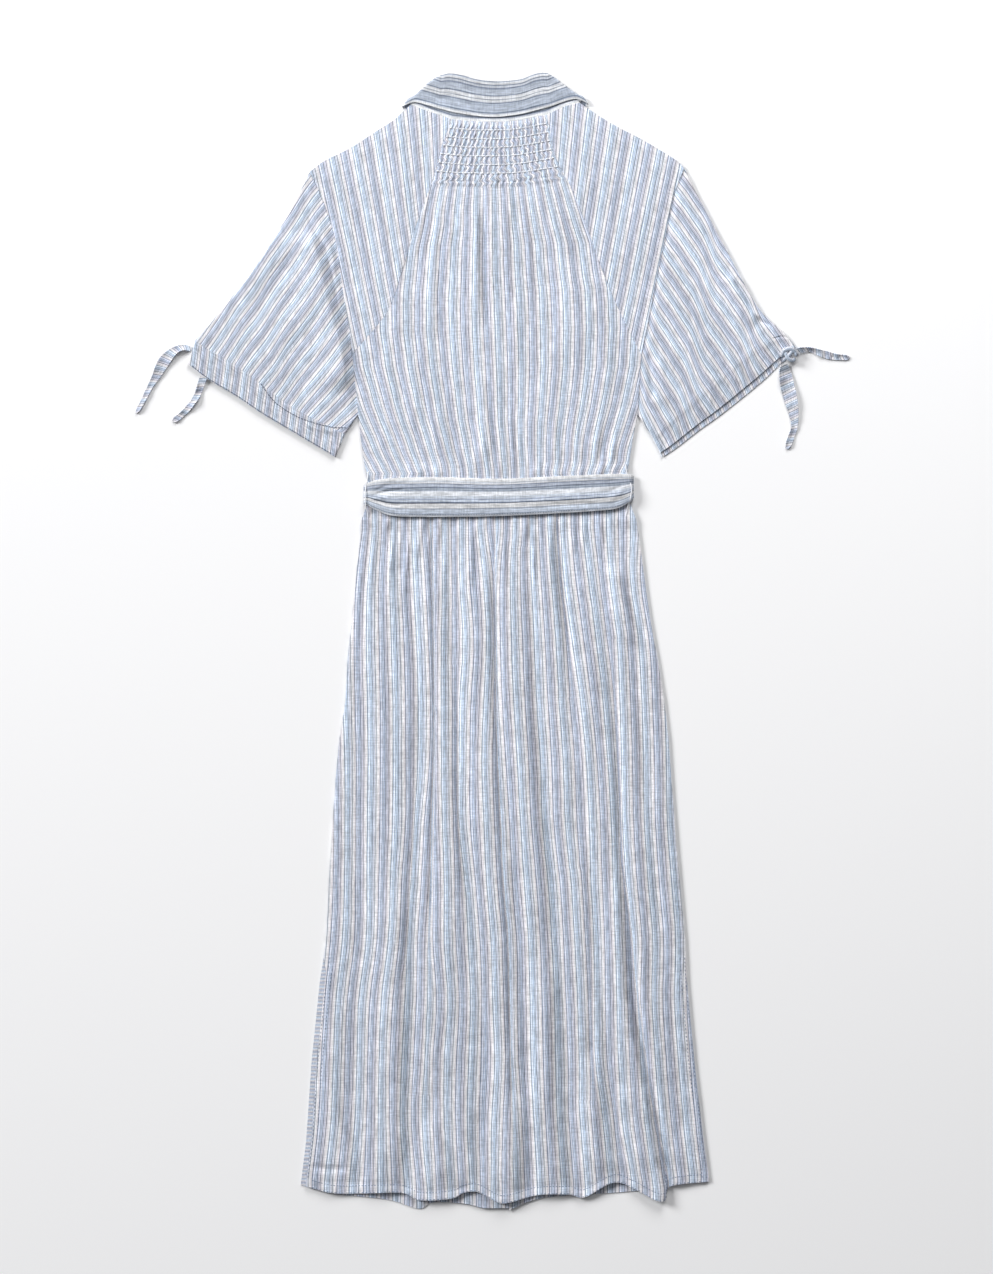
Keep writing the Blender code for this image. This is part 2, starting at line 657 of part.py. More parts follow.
def build_sleeve(side, armhole, body_column, top_fold, cuff_seam, cuff_hem):
    """A short wide sleeve and its cuff, both pressed flat."""
    lower_body = [Vector((getattr(row, body_column), row.y)) for row in BODICE_SIDES[1:3]]
    end = seam(armhole, ARMHOLE_STEPS) + lower_body
    cuff_line = seam(cuff_seam, CUFF_STEPS)
    hem_line = seam(cuff_hem, CUFF_STEPS)
    underarm = [end[-1].lerp(cuff_line[-1], v) for v in even(PANEL_STEPS)]
    sleeve = Patch(end, cuff_line, seam(top_fold, PANEL_STEPS), underarm)
    cuff = Patch(cuff_line, hem_line, [cuff_line[0], hem_line[0]], [cuff_line[-1], hem_line[-1]])

    def folds(u, v):
        """Soft ridge beside the armhole seam and the drags that run down to the cuff."""
        along = (v - ROLL_ALONG) / ROLL_ALONG_WIDTH
        across = (u - ROLL_ACROSS) / ROLL_ACROSS_WIDTH
        height = ROLL_HEIGHT * math.exp(-along ** 2 - across ** 2)
        for drag in SLEEVE_DRAGS:
            off = (u - drag.across - drag.shift * v) / drag.width
            height += drag.height * math.exp(-off ** 2) * math.sin(math.pi * v)
        return height

    def cuff_ridge(u, v):
        """Stitched seam of the cuff, a little higher than its middle."""
        return CUFF_SEAM_RELIEF * (1.0 - v)

    steps = even(CUFF_STEPS)
    pressed_tube(f"sleeve_{side}", sleeve, steps, even(PANEL_STEPS), SLEEVE_HEIGHT, folds, CLOTH_COLOUR)
    pressed_tube(f"cuff_{side}", cuff, steps, even(2), CUFF_HEIGHT, cuff_ridge, CUFF_COLOUR)


def build_front_bodice(side, armhole, body_column, shoulder, neck, placket_x):
    """Half of the front bodice: neck, shoulder fold, armhole, side and button edge."""
    side_line = [Vector((getattr(row, body_column), row.y)) for row in BODICE_SIDES]
    outer = seam(armhole, ARMHOLE_STEPS) + side_line[1:]
    neck_line = seam(neck, SHOULDER_STEPS)
    top = seam(shoulder, SHOULDER_STEPS)[::-1] + neck_line[1:]
    waist = [side_line[-1], Vector((placket_x, WAIST_Y))]
    steps = len(outer) - 1
    sash_rows = [row.y for row in BODICE_SIDES[-4:]]
    spans = steps + 1 - len(sash_rows)
    drop = neck_line[-1].y - sash_rows[0]
    heights = [neck_line[-1].y - drop * i / spans for i in range(spans)]
    edge = [Vector((placket_x, y)) for y in heights + sash_rows]
    patch = Patch(top, waist, outer, edge, top_reach=0.6)
    across = even(2 * SHOULDER_STEPS)
    rows = [(v, across) for v in even(steps)]
    panel(f"front_bodice_{side}", patch, rows, rows, front_rise, lambda u, v, place: 0.0)


def skirt_side(column, rows_y, set_in):
    """A side of the skirt at given heights; set_in draws it in beside the slit."""
    sign = 1.0 if column == "left" else -1.0
    line = []
    for y in rows_y:
        slit = ramp(y, SLIT_TOP_Y - SLIT_EASE, SLIT_EASE)
        line.append(Vector((row_value(SKIRT_SIDES, y, column) + sign * set_in * slit, y)))
    return line


def fold_place(fold, y):
    """Where a valley of the skirt lies at a height."""
    places = list(zip(FOLD_LINES_Y, fold[:5]))
    for (high, x_high), (low, x_low) in zip(places, places[1:]):
        if y >= low or low == FOLD_LINES_Y[-1]:
            return x_high + (x_low - x_high) * (high - y) / (high - low)


def build_skirt_back():
    """Back of the skirt: gathered at the waist, then soft folds down to the wavy hem."""
    upper_y = (WAIST_Y - HALF_GAP, 132.0, 120.0, 104.0, 88.0, 70.0)
    folded_y = (50.0, 20.0, -20.0, -63.0, -107.0, -155.0, -205.0, -249.0, -290.0, -330.0, -364.0, -423.0,
                -475.0, -525.0, -565.0)
    hem = seam(HEM_BACK, HEM_STEPS)
    lap_parts = (0.3, 0.6, LAP_CREST)
    plain_parts = (0.25, 0.5, 0.75)

    def edges(y):
        """Left and right edge of the back at a height."""
        left = skirt_side("left", [y], SLIT_SHOW)[0].x
        right = skirt_side("right", [y], 0.0)[0].x
        return left + HALF_GAP, right - HALF_GAP

    def lap(y):
        """Share of the full lap at a height."""
        return 1.0 - ramp(-y, -LAP_TOP_Y, LAP_TOP_Y - LAP_FULL_Y)

    def profile(index, part, y):
        """Height of the cloth between two valleys."""
        rises = [fold.rise for fold in SKIRT_FOLDS] + [RIGHT_EDGE_RISE]
        hill = math.sin(math.pi * part) ** 0.8 * rises[index]
        if index == LAPPED_FOLD:
            crest = (part / LAP_CREST) ** 1.4 if part <= LAP_CREST else (1.0 - part) / (1.0 - LAP_CREST)
            hill += LAP_RISE * crest * lap(y)
        if index == LAPPED_FOLD + 1:
            hill *= 1.0 - 0.5 * lap(y)
        return hill * ramp(y, FOLD_FULL_Y, FOLD_FADE)

    def hill(x, y):
        """Height of the folds at any place."""
        left, right = edges(y)
        valleys = [left] + [fold_place(fold, y) for fold in SKIRT_FOLDS] + [right]
        for index, (start, end) in enumerate(zip(valleys, valleys[1:])):
            if x <= end or end == right:
                return profile(index, min(max((x - start) / (end - start), 0.0), 1.0), y)

    def knots(y):
        """Places across the skirt: its edges, each valley and the cloth between them."""
        left, right = edges(y)
        valleys = [left] + [fold_place(fold, y) for fold in SKIRT_FOLDS] + [right]
        result = []
        for index, (start, end) in enumerate(zip(valleys, valleys[1:])):
            fractions = lap_parts if index == LAPPED_FOLD else plain_parts
            for part in (0.0,) + fractions:
                result.append((index, part, start + (end - start) * part))
        result.append((len(valleys) - 2, 1.0, right))
        return result

    names = [(k[0], k[1]) for k in knots(folded_y[0])]
    left, right = edges(folded_y[0])
    fractions = [(k[2] - left) / (right - left) for k in knots(folded_y[0])]

    def gathered_row(y, count, is_upper):
        """A row of the gathered part, of the upper or of the lower face."""
        left, right = edges(y)
        full = GATHER_RELIEF * ramp(-y, -SKIRT_GATHER_Y, SKIRT_GATHER_FADE)
        row = []
        for u in even(count):
            x = left + (right - left) * u
            lift = hill(x, y) + (WALL + gather_relief(u, y, full) if is_upper else 0.0)
            row.append((u, (x, y, back_rise(x, y) + lift)))
        return row

    def folded_row(y, is_upper, at_hem=False):
        """A row across the folds, of the upper or of the lower face; the last one follows the hem."""
        row = []
        for (index, part), fraction, (_, _, x) in zip(names, fractions, knots(y)):
            lift = profile(index, part, y) + (WALL if is_upper else 0.0)
            row.append((fraction, (x, hem_height(x) if at_hem else y, back_rise(x, y) + lift)))
        return row

    def hem_height(x):
        """Height of the wavy hem at a place across."""
        for here, there in zip(hem, hem[1:]):
            if x <= there.x or there is hem[-1]:
                span = max(there.x - here.x, 1e-3)
                return here.y + (there.y - here.y) * min(max((x - here.x) / span, 0.0), 1.0)

    full, half = WAIST_GATHERS * 4, WAIST_GATHERS * 2
    counts = (full, full, full, full, half, HEM_STEPS)
    solid = Solid()
    upper_rows = [(y, gathered_row(y, count, True)) for y, count in zip(upper_y, counts)]
    upper_rows += [(y, folded_row(y, True)) for y in folded_y]
    upper_rows.append((HEM_BACK[0][1], folded_row(HEM_FOLD_Y, True, at_hem=True)))
    lower_rows = [(y, gathered_row(y, count, False)) for y, count in zip(upper_y, (full, 24, 24))]
    lower_rows += [(y, folded_row(y, False)) for y in folded_y]
    lower_rows.append((HEM_BACK[0][1], folded_row(HEM_FOLD_Y, False, at_hem=True)))
    upper = solid.face([(-y, row) for y, row in upper_rows])
    lower = solid.face([(-y, row) for y, row in lower_rows])
    solid.close_walls(upper, lower)
    add_object("skirt_back", solid, CLOTH_COLOUR)


def build_skirt_front(side, column, placket_x, hem_points):
    """Half of the front of the skirt, flat on the floor, with the sash and buttons lifting it."""
    rows_y = [
        WAIST_Y, 132.0, 120.0, 60.0, 0.0, -80.0, -160.0, -240.0, -320.0, -364.0, -440.0, -520.0, -592.0,
    ]
    outer = skirt_side(column, rows_y, 0.0)
    outer[-1].y = hem_points[0][1] if column == "left" else hem_points[-1][1]
    hem = seam(hem_points, PANEL_STEPS)
    placket = [Vector((placket_x, y)) for y in rows_y]
    if column == "left":
        placket[-1] = hem[-1].copy()
        outer[-1] = hem[0].copy()
        patch = Patch([outer[0], placket[0]], hem, outer, placket, bottom_reach=0.2)
    else:
        placket[-1] = hem[0].copy()
        outer[-1] = hem[-1].copy()
        patch = Patch([placket[0], outer[0]], hem, placket, outer, bottom_reach=0.2)
    rows = [(v, even(PANEL_STEPS)) for v in even(len(rows_y) - 1)]
    panel(f"skirt_front_{side}", patch, rows, rows, front_rise, lambda u, v, place: 0.0)


def build_placket():
    """Button strip down the middle of the front, from the neck to the hem."""
    left = CENTRE_X - PLACKET_HALF_WIDTH
    right = CENTRE_X + PLACKET_HALF_WIDTH
    heights = [521.0, 440.0, 360.0, 280.0, 196.0, 184.0, 158.0, 132.0, 120.0, 0.0, -120.0, -240.0, -360.0,
               -480.0, -617.0]
    left_line = [Vector((left, y)) for y in heights]
    right_line = [Vector((right, y)) for y in heights]
    patch = Patch([left_line[0], right_line[0]], [left_line[-1], right_line[-1]], left_line, right_line)
    rows = [(v, even(2)) for v in even(len(heights) - 1)]
    panel("placket", patch, rows, rows, front_rise, lambda u, v, place: 0.0)


def build_buttons():
    """Flat round buttons under the placket; the dress lies on them."""
    turned = 0.35
    for index in range(BUTTON_COUNT):
        y = BUTTON_TOP_Y - index * BUTTON_PITCH
        solid = Solid()
        profile = (
            (BUTTON_RADIUS - turned, 0.0), (BUTTON_RADIUS, turned), (BUTTON_RADIUS, BUTTON_THICKNESS),
        )
        rings = []
        for radius, z in profile:
            ring = []
            for step in range(ROUND_SIDES):
                angle = 2 * math.pi * step / ROUND_SIDES
                place = (CENTRE_X + radius * math.cos(angle), y + radius * math.sin(angle), z)
                ring.append((step / ROUND_SIDES, place))
            rings.append(solid.run(ring))
        for first, second in zip(rings, rings[1:]):
            solid.bridge(first + [(1.0, first[0][1])], second + [(1.0, second[0][1])])
        solid.faces.append(tuple(number for _, number in rings[0]))
        solid.faces.append(tuple(number for _, number in rings[-1]))
        add_object(f"button_{index + 1:02d}", solid, BUTTON_COLOUR, roughness=0.35)


def build_collar():
    """Collar fall, one strip round the neck, and the two halves of its stand."""
    rows = []
    for section in COLLAR_FALL:
        roll = Vector((section.roll_x, section.roll_y, section.z))
        edge = Vector((section.edge_x, section.edge_y, section.z))
        rows.append([roll.lerp(edge, part / 3) for part in range(4)])
    strip("collar_fall", rows, WALL, CLOTH_COLOUR)

    neck = seam(NECK_LEFT, 2) + seam(NECK_BACK, 4)[1:] + seam(NECK_RIGHT, 2)[1:]
    stand_top = seam(STAND_TOP_BACK, PANEL_STEPS)
    patch = Patch(stand_top, neck, [stand_top[0], neck[0]], [stand_top[-1], neck[-1]])
    rows = [(v, even(PANEL_STEPS)) for v in even(2)]
    level = 2 * LAYER_STEP
    panel("collar_stand_back", patch, rows, rows, lambda x, y: level, lambda u, v, place: 0.0)

    middle = Vector((CENTRE_X, FRONT_NECK_LEFT[-1][1]))
    neck = seam(FRONT_NECK_LEFT, SHOULDER_STEPS) + [middle] + seam(FRONT_NECK_RIGHT, SHOULDER_STEPS)[::-1]
    stand_top = seam(STAND_TOP_FRONT, len(neck) - 1)
    patch = Patch(stand_top, neck, [stand_top[0], neck[0]], [stand_top[-1], neck[-1]])
    rows = [(v, even(len(neck) - 1)) for v in even(2)]
    panel("collar_stand_front", patch, rows, rows, front_rise, lambda u, v, place: 0.0)


def build_sash():
    """Sash belt round the waist and the two thread loops that hold it."""
    rows = []
    for section in SASH:
        low = Vector((section.x, section.low, section.z))
        high = Vector((section.x, section.high, section.z))
        rows.append([low.lerp(high, part / 4) for part in range(5)])
    strip("sash", rows, SASH_THICKNESS, SASH_COLOUR)
    for name, x, sections in (
        ("sash_loop_left", LOOP_LEFT_X, LOOP_LEFT),
        ("sash_loop_right", LOOP_RIGHT_X, LOOP_RIGHT),
    ):
        half = LOOP_HALF_WIDTH
        rows = [[Vector((x - half, s.y, s.z)), Vector((x + half, s.y, s.z))] for s in sections]
        strip(name, rows, LOOP_THICKNESS, SASH_COLOUR)


def build_ties():
    """Flat tie tails of the cuffs, lying on the floor, and the knot on the right cuff."""
    for name, points in TIES.items():
        curve = smooth_curve([(p.x, p.y, p.width) for p in points])
        rows = []
        for i in range(TIE_STEPS + 1):
            here = curve(i / TIE_STEPS)
            ahead = curve(min(i / TIE_STEPS + 0.01, 1.0))
            behind = curve(max(i / TIE_STEPS - 0.01, 0.0))
            course = Vector((ahead.x - behind.x, ahead.y - behind.y, 0.0)).normalized()
            side = Vector((-course.y, course.x, 0.0)) * here.z / 2
            middle = Vector((here.x, here.y, TIE_THICKNESS / 2))
            rows.append([middle - side, middle, middle + side])
        strip(name, rows, TIE_THICKNESS, CUFF_COLOUR)

    solid = Solid()
    loops = []
    for i in range(1, KNOT_RINGS):
        tilt = math.pi * i / KNOT_RINGS
        loop = []
        for step in range(ROUND_SIDES):
            angle = 2 * math.pi * step / ROUND_SIDES
            pinch = 1.0 + KNOT_PINCH * math.cos(3 * angle + 0.5)
            loop.append((step / ROUND_SIDES, (
                KNOT_CENTRE.x + KNOT_RADII.x * pinch * math.sin(tilt) * math.cos(angle),
                KNOT_CENTRE.y + KNOT_RADII.y * pinch * math.sin(tilt) * math.sin(angle),
                KNOT_CENTRE.z - KNOT_RADII.z * math.cos(tilt),
            )))
        loops.append(solid.run(loop))
    for first, second in zip(loops, loops[1:]):
        solid.bridge(first + [(1.0, first[0][1])], second + [(1.0, second[0][1])])
    solid.faces.append(tuple(number for _, number in loops[0]))
    solid.faces.append(tuple(number for _, number in loops[-1]))
    add_object("cuff_knot_right", solid, CUFF_COLOUR)


def main():
    """Clears the scene and builds every piece of the dress."""
    for item in list(bpy.data.objects):
        bpy.data.objects.remove(item, do_unlink=True)
    build_back_bodice()
    build_shoulder("shoulder_left", NECK_LEFT, SHOULDER_LEFT, ARMHOLE_LEFT, RAGLAN_LEFT)
    build_shoulder("shoulder_right", NECK_RIGHT[::-1], SHOULDER_RIGHT, ARMHOLE_RIGHT, RAGLAN_RIGHT)
    build_sleeve("left", ARMHOLE_LEFT, "left", SLEEVE_TOP_LEFT, CUFF_SEAM_LEFT, CUFF_HEM_LEFT)
    build_sleeve("right", ARMHOLE_RIGHT, "right", SLEEVE_TOP_RIGHT, CUFF_SEAM_RIGHT, CUFF_HEM_RIGHT)
    placket_left = CENTRE_X - PLACKET_HALF_WIDTH
    placket_right = CENTRE_X + PLACKET_HALF_WIDTH
    build_front_bodice("left", ARMHOLE_LEFT, "left", SHOULDER_LEFT, FRONT_NECK_LEFT, placket_left)
    build_front_bodice("right", ARMHOLE_RIGHT, "right", SHOULDER_RIGHT, FRONT_NECK_RIGHT, placket_right)
    build_skirt_back()
    build_skirt_front("left", "left", placket_left, HEM_FRONT_LEFT)
    build_skirt_front("right", "right", placket_right, HEM_FRONT_RIGHT)
    build_placket()
    build_buttons()
    build_collar()
    build_sash()
    build_ties()


main()
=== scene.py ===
"""Striped midi shirt dress laid flat on its front: cloth, stripes, stitching, light and camera.

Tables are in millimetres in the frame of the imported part: +X to the right of this back view, +Y to
the collar, and +Z up from the surface that the dress lies on. Meshes are made in metres.
"""

import logging
import math
from collections.abc import Callable, Sequence
from dataclasses import dataclass, field
from enum import Enum

import bpy
import numpy as np
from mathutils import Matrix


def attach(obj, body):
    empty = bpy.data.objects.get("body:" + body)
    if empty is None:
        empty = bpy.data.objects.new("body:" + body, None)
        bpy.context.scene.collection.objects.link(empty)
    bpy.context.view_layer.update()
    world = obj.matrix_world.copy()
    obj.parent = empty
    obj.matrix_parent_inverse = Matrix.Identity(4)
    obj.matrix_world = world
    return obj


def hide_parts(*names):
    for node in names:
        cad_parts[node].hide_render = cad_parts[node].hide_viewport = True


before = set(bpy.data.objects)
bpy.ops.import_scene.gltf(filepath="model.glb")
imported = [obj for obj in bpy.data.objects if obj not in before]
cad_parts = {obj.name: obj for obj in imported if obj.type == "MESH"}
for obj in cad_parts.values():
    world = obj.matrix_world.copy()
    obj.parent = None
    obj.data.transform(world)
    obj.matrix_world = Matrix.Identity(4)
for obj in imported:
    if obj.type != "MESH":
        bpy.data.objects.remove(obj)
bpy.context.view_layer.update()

Array = np.ndarray
Points = tuple[tuple[float, ...], ...]
Places = Sequence[Sequence[float]] | Array
Surface = Callable[[Array, Array], Array]
Piece = bpy.types.Object
Material = bpy.types.Material
Tree = bpy.types.NodeTree
Node = bpy.types.Node
Socket = bpy.types.NodeSocket

LOG = logging.getLogger("dress")
MM = 0.001
TINY = 1e-6
BODY = "root"
RANDOM_SEED = 11
SHARP_ANGLE = 55.0

# Layers of the laid dress, as the solids have them
WALL = 1.0
CLOTH = 0.7
HALF_GAP = 0.15
SEAM_INSET = 0.04
LAYER_STEP = 1.3
LOFT = 0.8
LOFT_REACH = 20.0
CENTRE_X = 3.8
PLACKET_HALF_WIDTH = 14.0
PLACKET_LEFT, PLACKET_RIGHT = CENTRE_X - PLACKET_HALF_WIDTH, CENTRE_X + PLACKET_HALF_WIDTH
PLACKET_RAISE = 1.8
PLACKET_RAMP = 46.0
WAIST_Y = 158.0
SASH_FLAT = 26.0
SASH_RAMP = 12.0
SASH_RAISE = 1.5
UNDER_SASH = 0.6
NECK_CENTRE = (5.0, 560.0)
LEAF_REACH = 120.0
LEAF_RAMP = 45.0
SLEEVE_HEIGHT = 3.2
CUFF_HEIGHT = 3.8

# Outlines seen from above; left and right are as in the back view
NECK_LEFT = ((-89, 585), (-68, 577), (-44, 569))
NECK_BACK = ((-44, 569), (-16, 566.5), (21, 567), (59, 574))
NECK_RIGHT = ((59, 574), (79, 583), (95, 587))
FRONT_NECK_LEFT = ((-89, 585), (-75, 556), (-44, 531), (-10.2, 521))
FRONT_NECK_RIGHT = ((95, 587), (82, 557), (53, 531), (17.8, 521))
SHOULDER_LEFT = ((-89, 585), (-108, 568), (-125, 557), (-155, 538), (-183, 524), (-199, 512))
SHOULDER_RIGHT = ((95, 587), (117, 572), (138, 560), (165, 546), (198, 526), (209, 516))
RAGLAN_LEFT = ((-44, 569), (-56, 538), (-66, 500), (-83, 454), (-99, 403), (-115, 359), (-153, 313))
RAGLAN_RIGHT = ((59, 574), (69, 528), (87, 492), (104, 449), (120, 403), (138, 361), (162, 313))
ARMHOLE_LEFT = ((-199, 512), (-185, 482), (-171, 438), (-163, 383), (-155, 334), (-153, 313))
ARMHOLE_RIGHT = ((209, 516), (197, 486), (190, 451), (177, 389), (168, 342), (162, 313))
SLEEVE_TOP_LEFT = ((-199, 512), (-220, 471), (-246, 427), (-278, 383), (-324, 328))
SLEEVE_TOP_RIGHT = ((209, 516), (226, 482), (255, 427), (289, 365), (319, 335))
CUFF_SEAM_LEFT = (
    (-324, 328), (-307, 317), (-283, 303), (-252, 280), (-221, 257), (-189, 240), (-161, 226),
)
CUFF_SEAM_RIGHT = ((319, 335), (302, 330), (287, 322), (264, 305), (232, 277), (204, 253), (173, 225))
CUFF_HEM_LEFT = (
    (-332, 303), (-310, 286), (-280, 268), (-252, 249), (-225, 233), (-198, 217), (-171, 201),
)
CUFF_HEM_RIGHT = ((332, 319), (318, 307), (293, 283), (251, 249), (226, 231), (200, 211), (185, 201))

# Sides of the body below the armholes, as (height, left, right)
BODICE_SIDES = (
    (313, -153, 162), (280, -149.5, 160), (248, -146.3, 158), (222, -143.7, 153), (196, -140, 149),
    (184, -137, 147), (158, -134, 147.5),
)
SKIRT_SIDES = (
    (158, -134, 147.5), (132, -143, 157), (120, -143.5, 159), (67, -149, 166), (24, -153, 172),
    (-20, -158, 180), (-63, -160, 187), (-107, -167, 192), (-151, -171, 195), (-238, -177, 202),
    (-325, -181, 210), (-369, -188, 212), (-456, -197, 220), (-543, -203, 230), (-592, -209, 236),
)
BODY_EDGES = (
    (586, -89, 95), (572, -104, 117), (546, -141, 165), (514, -196, 209), (486, -187, 197),
    (451, -175, 190), (383, -163, 176),
) + BODICE_SIDES + SKIRT_SIDES[1:]
SLIT_TOP_Y = -340.0
SLIT_SHOW = 5.5
SLIT_EASE = 24.0
HEM_BACK = (
    (-203.5, -593), (-168, -601), (-102, -600), (-79, -608), (-44, -606), (-32, -600), (-16, -599),
    (6, -610), (19, -610), (52, -602), (84, -602), (100, -605), (131, -589), (153, -595), (176, -607),
    (188, -608), (194, -593), (236, -588),
)
HEM_FRONT_LEFT = (
    (-209, -592), (-177, -601), (-114, -608), (-80, -618), (-66, -611), (-32, -612), (-10.2, -617),
)
HEM_FRONT_RIGHT = ((17.8, -620), (25, -616), (46, -608), (74, -604), (161, -598), (236, -586))

# Valleys of the skirt at five heights, and how high the cloth stands on the left of each
FOLD_LINES_Y = (122.0, -63.0, -249.0, -423.0, -598.0)
SKIRT_VALLEYS = (
    (-131, -149, -142, -149, -144), (-99, -80, -82, -89, -93), (-52, -39, -28, -9, -13),
    (-1, 5, 23, 34, 41), (40, 49, 63, 80, 87), (72, 87, 106, 123, 146), (118, 130, 141, 156, 192),
    (145, 158, 178, 197, 218),
)
SKIRT_RISES = (0.8, 2.0, 2.4, 2.8, 2.8, 2.2, 2.6, 1.8, 0.8)
LAPPED_FOLD = 6
LAP_TOP_Y = -230.0
LAP_FULL_Y = -360.0
LAP_RISE = 2.2
LAP_CREST = 0.9
FOLD_FULL_Y = 50.0
FOLD_FADE = 70.0

# Collar fall from its middle at the front, round both ends, as (roll x, roll y, edge x, edge y, height)
COLLAR_FALL = (
    (2, 537, 2, 522, 0.5), (-20, 541, -30, 497, 0.5), (-44, 549, -58, 480, 0.5),
    (-66, 561, -82, 522, 0.5), (-82, 575, -94, 556, 0.5), (-89.5, 588, -96.8, 579.5, 0.5),
    (-91.2, 590, -98, 581.6, 1.1), (-91.8, 591, -98.4, 582.6, 2.5), (-90.5, 592, -96.5, 583.6, 4.2),
    (-83, 596, -86, 587.5, 4.5), (-68, 610, -71, 584.5, 4.5), (-51, 619, -56, 580, 4.5),
    (-35, 618, -39, 576, 4.5), (-16, 613, -16, 572.5, 4.5), (5, 611, 5, 571.5, 4.5),
    (30, 613, 30, 574.5, 4.5), (46, 619, 50, 579.5, 4.5), (58, 620, 62, 582.5, 4.5),
    (69, 613, 73, 586.5, 4.5), (81, 604, 84, 590, 4.5), (91, 597, 93, 591, 4.5),
    (97.6, 594, 102, 587, 4.2), (99, 593, 104.4, 585.4, 2.5), (98.4, 592, 104, 584.2, 1.1),
    (97, 590, 102.8, 582, 0.5), (90, 577, 102, 557, 0.5), (74, 563, 90, 522, 0.5),
    (52, 550, 66, 480, 0.5), (29, 542, 38, 497, 0.5), (6, 537, 6, 522, 0.5),
)
STAND_TOP_BACK = (
    (-84, 592.5), (-68, 605), (-51, 614), (-35, 613), (-16, 608), (5, 606), (30, 608), (46, 614),
    (58, 615), (69, 608), (81, 599.5), (91.5, 592.5),
)
STAND_TOP_FRONT = ((-85, 588), (-66, 562), (-40, 549), (4, 543), (47, 550), (72, 563), (91, 589.5))

# Sash from its lapped middle at the front, round both sides, as (x, lower edge, upper edge, height)
SASH = (
    (2.2, 137, 179, 0.6), (-60, 138, 178, 0.6), (-120, 139, 177, 0.6), (-137, 147, 174, 0.7),
    (-139.3, 149, 173, 1.4), (-139.8, 149, 172, 2.7), (-139.0, 149, 172, 4.1), (-136, 149, 172.5, 4.9),
    (-125, 143, 176, 5.3), (-106, 137, 178, 5.7), (-57, 136, 179, 5.8), (-12, 136.5, 177.5, 6.1),
    (20, 137.5, 177.5, 6.1), (52, 139, 179, 5.8), (117, 143, 182, 5.7), (137, 146, 182.5, 5.3),
    (149, 152, 182, 4.9), (152.6, 156, 181, 4.1), (153.4, 157, 180.5, 2.7), (152.8, 156, 180, 1.4),
    (150, 152, 180, 0.7), (125, 141, 178, 0.6), (65, 138, 178, 0.6), (5.4, 137, 179, 0.6),
)
LOOPS = {
    "sash_loop_left": (
        (-135, 186.5, 3.6), (-136, 178.5, 4.4), (-137.5, 170, 6.2), (-138.4, 160, 8.4),
        (-138.0, 148, 7.9), (-136, 141, 5.4), (-135, 134, 3.6),
    ),
    "sash_loop_right": (
        (145, 194, 3.4), (146, 186, 4.4), (149, 176, 5.4), (151.4, 167, 7.6), (150.4, 157, 7.6),
        (147, 146, 5.0), (145, 134, 3.8),
    ),
}


def linear_colour(hex_colour: str) -> tuple[float, float, float, float]:
    """Turns an sRGB colour to linear.

    Args:
        hex_colour: six hex digits after a hash.

    Returns:
        The linear RGBA that shaders take.
    """
    channels = [int(hex_colour[i:i + 2], 16) / 255 for i in (1, 3, 5)]
    turned = [c / 12.92 if c <= 0.04045 else ((c + 0.055) / 1.055) ** 2.4 for c in channels]
    return (turned[0], turned[1], turned[2], 1.0)


def walked(places: Array) -> Array:
    """Length of a line up to each of its places."""
    steps = np.linalg.norm(np.diff(places, axis=0), axis=1)
    return np.concatenate([[0.0], np.cumsum(steps)])


def even_line(points: Places, count: int) -> Array:
    """Reads even places off a line of straight steps.

    Args:
        points: places in the plane or in space.
        count: how many places to return, both ends among them.

    Returns:
        The places, one a row.
    """
    places = np.array(points, float)
    lengths = walked(places)
    wanted = np.linspace(0, lengths[-1], count)
    return np.stack([np.interp(wanted, lengths, column) for column in places.T], axis=1)


def smooth_line(points: Places, count: int) -> Array:
    """Reads even places off a smooth curve through points.

    Args:
        points: places in the plane or in space.
        count: how many places to return, both ends among them.

    Returns:
        The places, one a row.
    """
    knots = np.array(points, float)
    padded = np.vstack([2 * knots[0] - knots[1], knots, 2 * knots[-1] - knots[-2]])
    t = np.linspace(0, 1, 13)[:-1, None]
    spans = [
        0.5 * (2 * b + (c - a) * t + (2 * a - 5 * b + 4 * c - d) * t ** 2
               + (3 * b - a - 3 * c + d) * t ** 3)
        for a, b, c, d in zip(padded, padded[1:], padded[2:], padded[3:])
    ]
    return even_line(np.vstack(spans + [knots[-1:]]), count)


def ramp(distance: Array, flat: float, reach: float) -> Array:
    """1 up to a flat distance, falling softly to 0 over a reach beyond it."""
    t = np.clip(1.0 - (distance - flat) / reach, 0.0, 1.0)
    return t * t * (3.0 - 2.0 * t)


def straight_ramp(distance: Array, flat: float, reach: float) -> Array:
    """1 up to a flat distance, falling evenly to 0 over a reach beyond it."""
    return np.clip(1.0 - (distance - flat) / reach, 0.0, 1.0)


def side_at(rows: Places, y: Array, side: int) -> Array:
    """Where the left (1) or right (2) side of a table of rows lies at a height."""
    table = np.array(rows, float)[::-1]
    return np.interp(y, table[:, 0], table[:, side])


def distance_from(line: Array, x: Array, y: Array) -> Array:
    """Distance of each place from a line of close points.

    Args:
        line: the points.
        x, y: places across and up.

    Returns:
        Millimetres, in the shape of x.
    """
    flat = np.stack([x.ravel(), y.ravel()], axis=1)
    nearest = np.full(len(flat), np.inf)
    for place in line:
        nearest = np.minimum(nearest, ((flat - place) ** 2).sum(1))
    return np.sqrt(nearest).reshape(x.shape)


